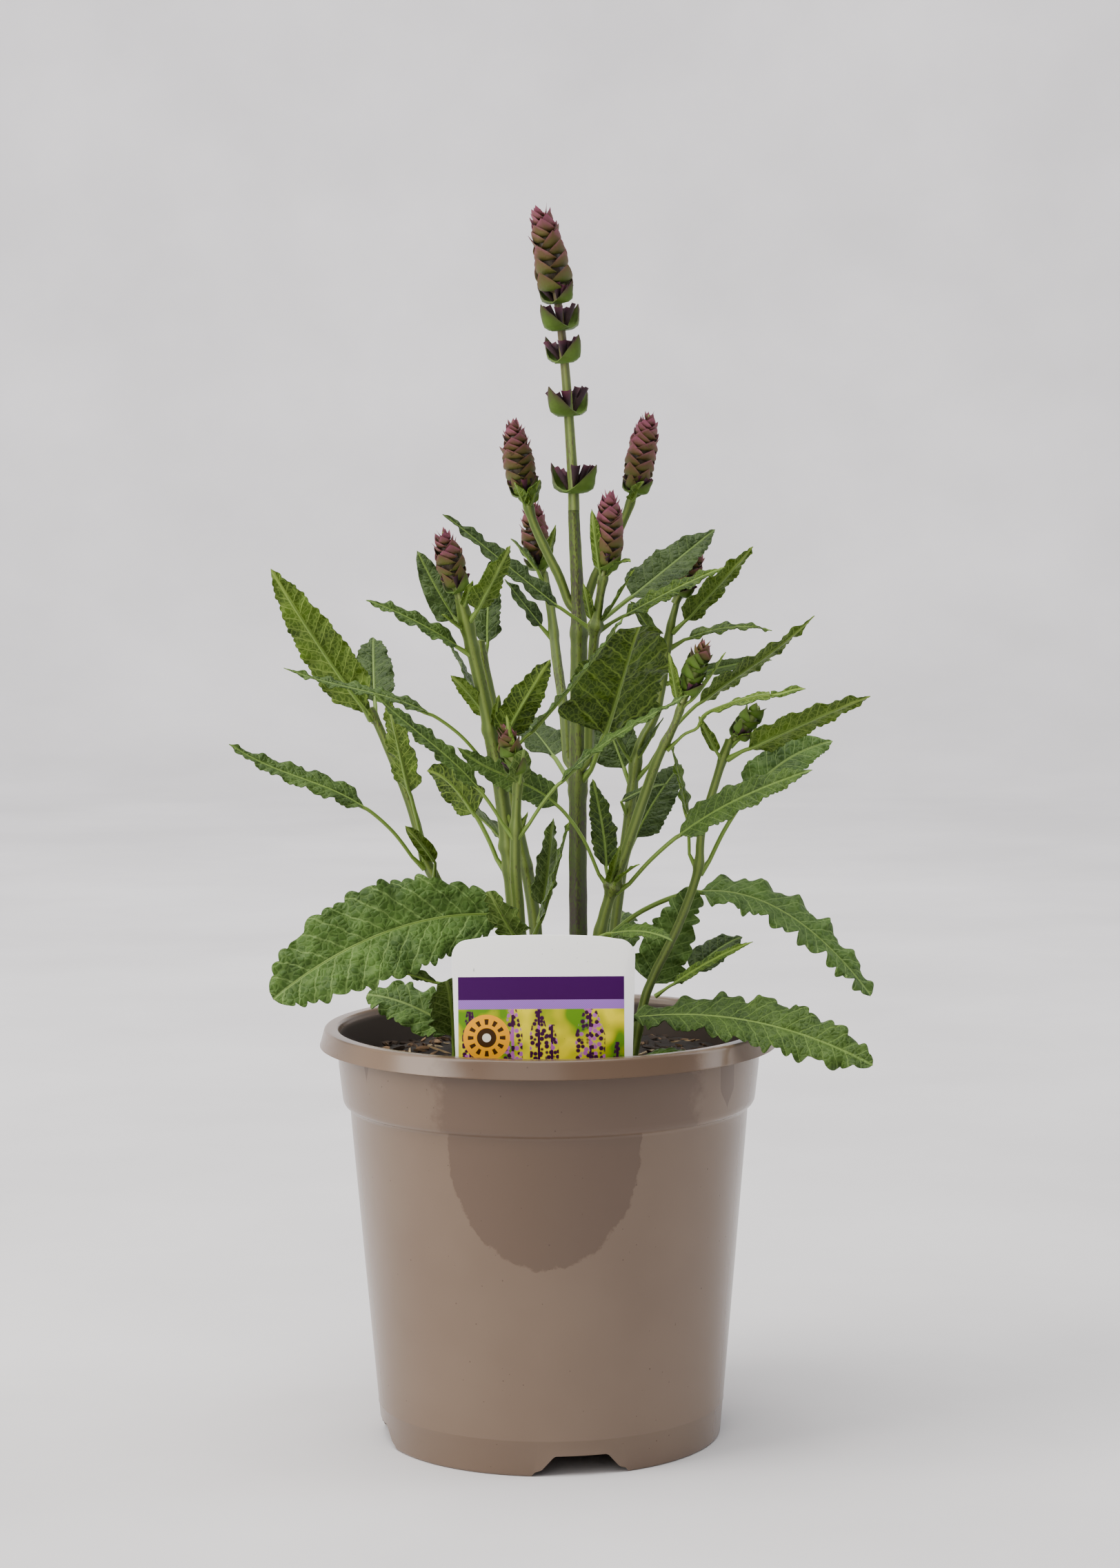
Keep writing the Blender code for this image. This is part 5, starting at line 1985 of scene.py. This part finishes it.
SMALL_LEAVES = tuple(SmallLeaf(*row) for row in (
    ("low_hairy_left", (-34, -34, 5), (-36, -58, 37), 15, Look.GREY, (10, 8), 25, Margin.CRENATE),
    ("low_upright_middle", (-4.9, -14, 46.8), (8, -18, 89.8), 12, Look.YOUNG, (-2, -2), 20,
     Margin.SERRATE),
    ("low_upright_behind", (-3, 12, 50), (2, 10, 88), 12, Look.GREY, (-2, -2), -20,
     Margin.SERRATE),
    ("low_round_left", (-9.4, -36, 47.4), (-20.7, -47, 67.6), 12, Look.GREY, (-2, -1), 20,
     Margin.CRENATE),
    ("low_narrow_right", (40.4, -20, 26), (74.5, -26, 46), 5, Look.YOUNG, (2, 2), 40,
     Margin.SERRATE),
    ("low_pale_right", (50.7, 20, 25.6), (74, 34, 40), 12, Look.SHADE, (2, 3), 30, Margin.SERRATE),
    ("low_over_label", (19.4, -28, 48.7), (44.4, -54, 50.1), 9, Look.GREY, (3, 4), 25,
     Margin.SERRATE),
    ("low_dark_right", (30, -26, 1.5), (52, -40, 5), 10, Look.DARK, (3, 4), 15, Margin.CRENATE),
    ("low_left_behind", (-38, 10, 25), (-64, 14, 30), 9, Look.SHADE, (2, 3), 30, Margin.SERRATE),
    ("back_narrow_right", (50, 42, 138), (86, 44, 145), 6, Look.SHADE, (1, 2), 50, Margin.SERRATE),
    ("back_leaf_middle", (-1, 27, 178), (-13, 30, 192), 6, Look.SHADE, (0, 1), 30),
    ("back_broad_left", (-19, 33, 112), (-37, 64, 150), 17, Look.SHADE, (4, 3), 45,
     Margin.SERRATE),
    ("back_broad_right", (32, 38, 96), (14, 62, 140), 18, Look.SHADE, (3, 3), -50, Margin.SERRATE),
    ("back_broad_low", (30, 37, 70), (52, 60, 104), 15, Look.SHADE, (6, 4), 40, Margin.SERRATE),
    ("back_broad_left_low", (-9, 24, 68), (-36, 44, 92), 15, Look.SHADE, (6, 4), 40,
     Margin.SERRATE),
    ("back_leaf_low", (22, 32, 22), (30, 64, 46), 16, Look.GREY, (8, 9), 15, Margin.CRENATE),
    ("back_leaf_far_low", (-4, 22, 14), (-20, 56, 34), 17, Look.DARK, (8, 9), -10, Margin.CRENATE),
    ("front_left_small", (-19, -24, 124.6), (-34.2, -34, 144), 7, Look.YOUNG, (2, 2), 40,
     Margin.SERRATE),
    ("front_left_tiny", (-19, -26, 123), (-17, -36, 137), 4, Look.YOUNG, (0, 0), 20),
    ("node_small_right", (22, -22, 65), (26, -33, 82), 5, Look.YOUNG, (0, -1), 20),
    ("node_small_out", (23, -24, 66), (33, -39, 76), 5, Look.YOUNG, (2, 1), 25),
    ("left_small", (-40, -1, 70), (-52, -14, 88), 6, Look.YOUNG, (2, 1), 40),
    ("left_shoot_one", (-12, -20, 80), (-14, -26, 93), 3.4, Look.YOUNG),
    ("left_shoot_two", (-12, -21, 82), (-7, -27, 94), 3.2, Look.YOUNG),
    ("bud_leaf_short", (-10.4, -38, 103), (-8, -43, 118), 10, Look.GREY, (0, 0), 10),
    ("bud_leaf_short_narrow", (-10.4, -38, 104), (-14, -42, 130), 4, Look.YOUNG),
    ("bud_leaf_left", (-30, -32, 167), (-26, -38, 178), 4, Look.YOUNG),
    ("bud_leaf_left_low", (-29, -31, 160), (-37, -36, 166), 4, Look.YOUNG),
    ("bud_leaf_low_right", (17.5, -8, 160), (14, -14, 176), 4.2, Look.YOUNG),
    ("bud_leaf_low_right_two", (17.6, -9, 160), (32, -15, 181), 6, Look.YOUNG, (-2, -1), 20),
    ("bud_leaf_back_right", (44, 41, 150), (32, 36, 168), 6, Look.SHADE, (1, 1), 30),
    ("bud_leaf_front_right", (48, -36, 131), (44, -42, 152), 4.4, Look.YOUNG),
    ("bud_leaf_front_right_two", (49, -36, 132), (64, -40, 152), 4.4, Look.YOUNG, (-2, -2)),
    ("bract_low_right", (20.4, -11, 177), (31, -16, 184), 7, Look.YOUNG, (2, 4), 10),
    ("bract_low_right_narrow", (20.4, -11, 177), (17, -16, 203), 5, Look.YOUNG, (0, 0), 10),
    ("bract_high_right", (31.5, 13, 205), (36, 6, 213), 7, Look.YOUNG, (0, 1), 10),
    ("bract_high_left", (-6.4, 8, 203), (-2, 2, 214), 7, Look.YOUNG, (0, 0), 10),
    ("bract_high_left_two", (-6.4, 8, 203), (-11, 3, 213), 7, Look.YOUNG, (0, 0), -10),
    ("bract_low_left", (-1.2, 30, 178), (3.6, 25, 197), 5, Look.YOUNG),
    ("node_back_petiole", (31, 38, 108), (25, 33, 119), 4, Look.SHADE),
    ("node_back_leaf", (33, 38, 106), (44, 33, 124), 5, Look.SHADE),
    ("thin_back_leaf", (25, 34, 90), (45, 28, 99), 4, Look.SHADE, (2, 2), 40),
    ("far_right_node_leaf", (64, -2, 111), (56, -8, 127), 5, Look.YOUNG, (0, -1), 20),
    ("far_right_bract", (69, 0, 116.5), (77, -6, 121), 4, Look.YOUNG, (1, 1)),
))


@dataclass
class SkinSet:
    """Every finish that the plant wears."""

    leaves: dict[Look, tuple[Material, Material]]
    stalk: Material
    stem: Material
    shaded_stem: Material
    spike: SpikeSkins


# Flesh in its dark and light patches and the veins, for the upper side and then the underside
LEAF_COLOURS = {
    Look.YOUNG: (("#233a02", "#415b0a", "#7d9838"), ("#2c4103", "#486307", "#8aa248")),
    Look.GREY: (("#21370a", "#3f581c", "#708b44"), ("#304610", "#4f6824", "#889f54")),
    Look.DARK: (("#253d0f", "#466423", "#7f9a55"), ("#2c4108", "#4a6419", "#819a47")),
    # The deep row is the young colours darkened: painted shade for leaves in shadow
    Look.DEEP: (("#192902", "#2d4506", "#718a38"), ("#213301", "#385104", "#86a040")),
    # The shade row is painted shade for leaves inside and behind the plant
    Look.SHADE: (("#1e310d", "#374b1e", "#5c713a"), ("#293d11", "#435b24", "#708649")),
}


def plant_skins() -> SkinSet:
    """Make the plant's finishes.

    Returns:
        The finishes by what wears them.
    """
    leaves = {}
    for look, (upper, under) in LEAF_COLOURS.items():
        net_mm = 2.4 if look is Look.DARK else 2.0
        name = look.name.lower()
        leaves[look] = (LeafSkin("leaf_upper_" + name, *upper, False, net_mm=net_mm).material(),
                        LeafSkin("leaf_under_" + name, *under, True, net_mm=net_mm).material())
    return SkinSet(
        leaves,
        StemSkin("leaf_stalk", "#79913e", "#55721f", "#472e2c", 0.10).material(),
        StemSkin("stem_skin", "#6a7c34", "#465a17", "#34251c", 0.3).material(),
        # The middle stem: painted shade darkens it towards its foot
        StemSkin("stem_skin_shaded", "#64752f", "#415413", "#37272a", 0.62, "#2a380c",
                 (0.27, 0.19)).material(),
        SpikeSkins(
            StemSkin("spike_axis", "#7f9048", "#4f6022", "#4a2a33", 0.25, "#624a3c",
                     (0.383, 0.412)).material(),
            StemSkin("spike_heart", "#3f361c", "#33271a", "#2c1a20", 0.5).material(),
            BractSkin("bract_purple", "#47580f", "#594426", "#84475a", 1.0).material(),
            BractSkin("bract_green", "#557621", "#435911", "#42182c", 0.5).material(),
            BractSkin("calyx_purple", "#2a1a10", "#2e1722", "#64283f", 0.45).material(),
        ),
    )


@dataclass
class SagePlant:
    """The whole plant: its stems, leaves and flower spikes.

    Attributes:
        nodes: The frame's CAD nodes by name.
        soil: Height of the compost in mm.
        axes: Points along the middles of all stems.
    """

    nodes: dict[str, Object]
    soil: float
    axes: Array = field(init=False)

    def build(self) -> None:
        """Build every piece of the plant."""
        skins = plant_skins()
        self.axes = np.vstack([slices(self.nodes[name], 1.5)[0] for name in self._named("stem_")])
        feet = self._leaves(skins)
        feet += self._small_leaves(skins)
        self._stems(skins, np.array(feet))
        self._spikes(skins)

    def _named(self, start: str) -> list[str]:
        """Names of the nodes of one kind."""
        return sorted(name for name in self.nodes if name.startswith(start))

    def stem_feet(self) -> Array:
        """Where the stems leave the compost, as x and y in mm."""
        starts = [slices(self.nodes[n], 3.0)[0][0] for n in self._named("stem_")]
        return np.array([p[:2] for p in starts if p[2] < self.soil + 3])

    def _root(self, foot: Array) -> Array | None:
        """Point inside the nearest stem from which a stalk can start.

        Args:
            foot: The stalk's foot on the stem's skin.

        Returns:
            The point, or None where no stem is near enough.
        """
        away = np.linalg.norm(self.axes - foot, axis=1)
        nearest = self.axes[away.argmin()]
        inside = nearest + (foot - nearest) * 0.2 - [0, 0, 2.5]
        return inside if 1.5 < away.min() < 8.0 else None

    def _leaves(self, skins: SkinSet) -> list[Array]:
        """The large leaves, each on its CAD node's line.

        Args:
            skins: The plant's finishes.

        Returns:
            The points at which they leave their stems.
        """
        feet = []
        for seed, name in enumerate(self._named("leaf_")):
            look, margin = LEAF_LOOKS.get(name, (Look.YOUNG, Margin.SERRATE))
            line = LeafLine.from_solid(self.nodes[name])
            if name in LEAF_SHOULDERS:
                line.halves[:3] = LEAF_SHOULDERS[name]
                line.blade_from = 0
            wave = 1.7 if margin is Margin.CRENATE else 0.8
            leaf = SageLeaf(name + "_blade", line, margin, seed + 1, wave, (name,),
                            self._root(line.points[0]))
            leaf.build(*skins.leaves[look], skins.stalk)
            feet.append(line.points[0])
        return feet

    def _small_leaves(self, skins: SkinSet) -> list[Array]:
        """The small leaves and bud leaves.

        Args:
            skins: The plant's finishes.

        Returns:
            The points at which they start.
        """
        lift = np.array([0, 0, self.soil])
        for seed, small in enumerate(SMALL_LEAVES):
            line = LeafLine.from_ends(np.array(small.foot) + lift, np.array(small.tip) + lift,
                                      small.width, small.bend, small.roll)
            leaf = SageLeaf(small.name, line, small.margin, seed + 60, 0.6,
                            root=self._root(line.points[0]))
            leaf.build(*skins.leaves[small.look], skins.stalk)
        return [np.array(small.foot) + lift for small in SMALL_LEAVES]

    def _stems(self, skins: SkinSet, joints: Array) -> None:
        """The stems and side shoots.

        Args:
            skins: The plant's finishes.
            joints: Points near which the stems swell.
        """
        middle = slices(self.nodes["stem_centre"], 1.5)[0]
        for name in self._named("stem_"):
            skin = skins.shaded_stem if name == "stem_centre" else skins.stem
            parent = middle if name.startswith("stem_shoot_") else None
            Stem.from_solid(self.nodes[name], joints, parent).build(skin)

    def _spikes(self, skins: SkinSet) -> None:
        """The flower spikes.

        Args:
            skins: The plant's finishes.
        """
        models = {"bract": bract_model(skins.spike.bract),
                  "green": bract_model(skins.spike.green_bract),
                  "calyx": calyx_model(skins.spike.calyx)}
        for seed, name in enumerate(self._named("spike_")):
            rings, tip = read_rings(self.nodes[name], 8)
            centres = rings.mean(axis=1)
            radii = np.linalg.norm(rings - centres[:, None], axis=2).mean(axis=1)
            line = np.vstack([centres, tip])
            smooth = np.stack([np.polyval(np.polyfit(line[:, 2], line[:, k], 3), line[:, 2])
                               for k in range(2)], axis=1)
            line[1:, :2] = smooth[1:]
            main = name == "spike_centre"
            whorls = CENTRE_WHORLS if main else ((line[0, 2] + 0.3, radii.max() * 0.98),)
            FlowerSpike(name + "_bracts", line, np.append(radii, 0.0),
                        424.0 if main else line[0, 2] + 2.0, whorls, RIPENESS.get(name, 0.3),
                        7.4 if main else 5.7, 2.9 if main else 2.3, seed + 3,
                        (name,)).build(models, skins.spike)
        for model in models.values():
            bpy.data.objects.remove(model, do_unlink=True)


# ---------------------------------------------------------------- studio

@dataclass
class Studio:
    """Pale sweep, soft lights and the camera.

    Attributes:
        reach: Radius of the flat floor, in metres.
        bend: Radius of the curve from the floor to the wall.
        wall: Height of the wall above the curve.
        camera_spot: Where the camera stands, in metres.
        lens: Its focal length in mm, on a 36 mm sensor.
        look_down: How far it is turned down from level, in radians.
        lean: How far it leans sideways, in radians.
    """

    reach: float = 2.7
    bend: float = 0.9
    wall: float = 0.5
    camera_spot: tuple[float, float, float] = (0.0048, -1.250, 0.3491)
    lens: float = 77.88
    look_down: float = 0.0846
    lean: float = 0.0063

    def build(self) -> None:
        """Set up the sweep, the lights, the world and the camera."""
        self._sweep()
        self._lights()
        self._world()
        self._camera()

    def _sweep(self) -> None:
        """A round floor that curves up into a wall on every side."""
        sweep = begin("studio_sweep", bpy.ops.mesh.primitive_circle_add, vertices=128,
                      radius=self.reach, fill_type="TRIFAN")
        with editing(sweep):
            bpy.ops.mesh.region_to_loop()
            rise = 0.0
            for step in range(1, 17):
                turn = step / 16 * math.pi / 2
                radius = self.reach + self.bend * math.sin(turn)
                before = self.reach + self.bend * math.sin((step - 1) / 16 * math.pi / 2)
                height = self.bend * (1 - math.cos(turn))
                bpy.ops.mesh.extrude_edges_move(
                    TRANSFORM_OT_translate={"value": (0, 0, height - rise)})
                bpy.ops.transform.resize(value=(radius / before, radius / before, 1))
                rise = height
            bpy.ops.mesh.extrude_edges_move(TRANSFORM_OT_translate={"value": (0, 0, self.wall)})
            bpy.ops.mesh.select_all(action="SELECT")
            bpy.ops.mesh.normals_make_consistent(inside=True)
        sweep.data.materials.append(PaleSweep().material())
        for face in sweep.data.polygons:
            face.use_smooth = True

    def _light(self, name: str, spot: Sequence[float], aim: Sequence[float],
               size: tuple[float, float], power: float, colour: str) -> None:
        """One soft area light.

        Args:
            name: Its name.
            spot: Where it stands, in metres.
            aim: The point it faces.
            size: Its width and height.
            power: Its power in watts.
            colour: Its sRGB colour.
        """
        bpy.ops.object.light_add(type="AREA", location=spot)
        light = bpy.context.object
        light.name = name
        light.data.shape = "RECTANGLE"
        light.data.size, light.data.size_y = size
        light.data.energy = power
        light.data.color = linear(colour)[:3]
        light.visible_camera = False
        light.rotation_euler = (Vector(aim) - Vector(spot)).to_track_quat("-Z", "Y").to_euler()

    def _lights(self) -> None:
        """Softboxes at both sides, a wide one overhead and a low fill in front."""
        self._light("softbox_left", (-1.3, -0.6, 0.95), (0, 0, 0.2), (0.9, 1.3), 29, "#fffaf4")
        self._light("softbox_right", (1.4, 0.1, 0.95), (0, 0, 0.2), (0.5, 1.3), 8, "#f7faff")
        self._light("softbox_top", (-0.2, -0.2, 1.9), (0, 0, 0.15), (1.8, 1.6), 48, "#fffdf8")
        self._light("fill_front", (-0.5, -2.3, 1.4), (0, 0, 0.2), (1.6, 1.2), 10, "#fffdfa")
        self._light("wall_wash", (-0.3, 1.3, 2.3), (-0.5, 3.3, 0.55), (3.6, 0.9), 108, "#fffdfd")

    def _world(self) -> None:
        """An even pale surround."""
        world = bpy.data.worlds.new("studio_air")
        world.use_nodes = True
        background = world.node_tree.nodes["Background"]
        background.inputs["Color"].default_value = linear("#e9eaec")
        background.inputs["Strength"].default_value = 0.36
        bpy.context.scene.world = world

    def _camera(self) -> None:
        """A camera a little above the pot's rim, looking slightly down."""
        bpy.ops.object.camera_add(location=self.camera_spot)
        camera = bpy.context.object
        camera.data.lens = self.lens
        camera.data.sensor_width = 36.0
        turn = Matrix.Rotation(math.pi / 2 - self.look_down, 4, "X")
        camera.rotation_euler = (turn @ Matrix.Rotation(-self.lean, 4, "Z")).to_euler()
        bpy.context.scene.camera = camera


# ---------------------------------------------------------------- assembly

def main() -> None:
    """Load the frame, build every piece and dress it."""
    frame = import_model()
    nodes = frame["nodes"]
    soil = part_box("compost")[1].z / MM
    Studio().build()
    plant = SagePlant(nodes, soil)
    feet = plant.stem_feet()
    plant.build()
    NurseryPot(*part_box("pot")).build(MouldedPot().material())
    bed = CompostBed(*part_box("compost"), feet)
    bed.build(Bark("compost_crumb", "#1c1510", "#33261c", "#5c4632", 0.72).material(),
              Bark("bark_chips", "#231a13", "#463426", "#7d6246", 0.6).material(),
              Bark("straw_splinters", "#7a6347", "#ab9069", "#cfb993", 0.5).material())
    PlantLabel(*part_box("plant_label")).build(LabelPrint().material())
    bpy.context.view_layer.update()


if __name__ == "__main__":
    logging.basicConfig(level=logging.INFO)
    main()
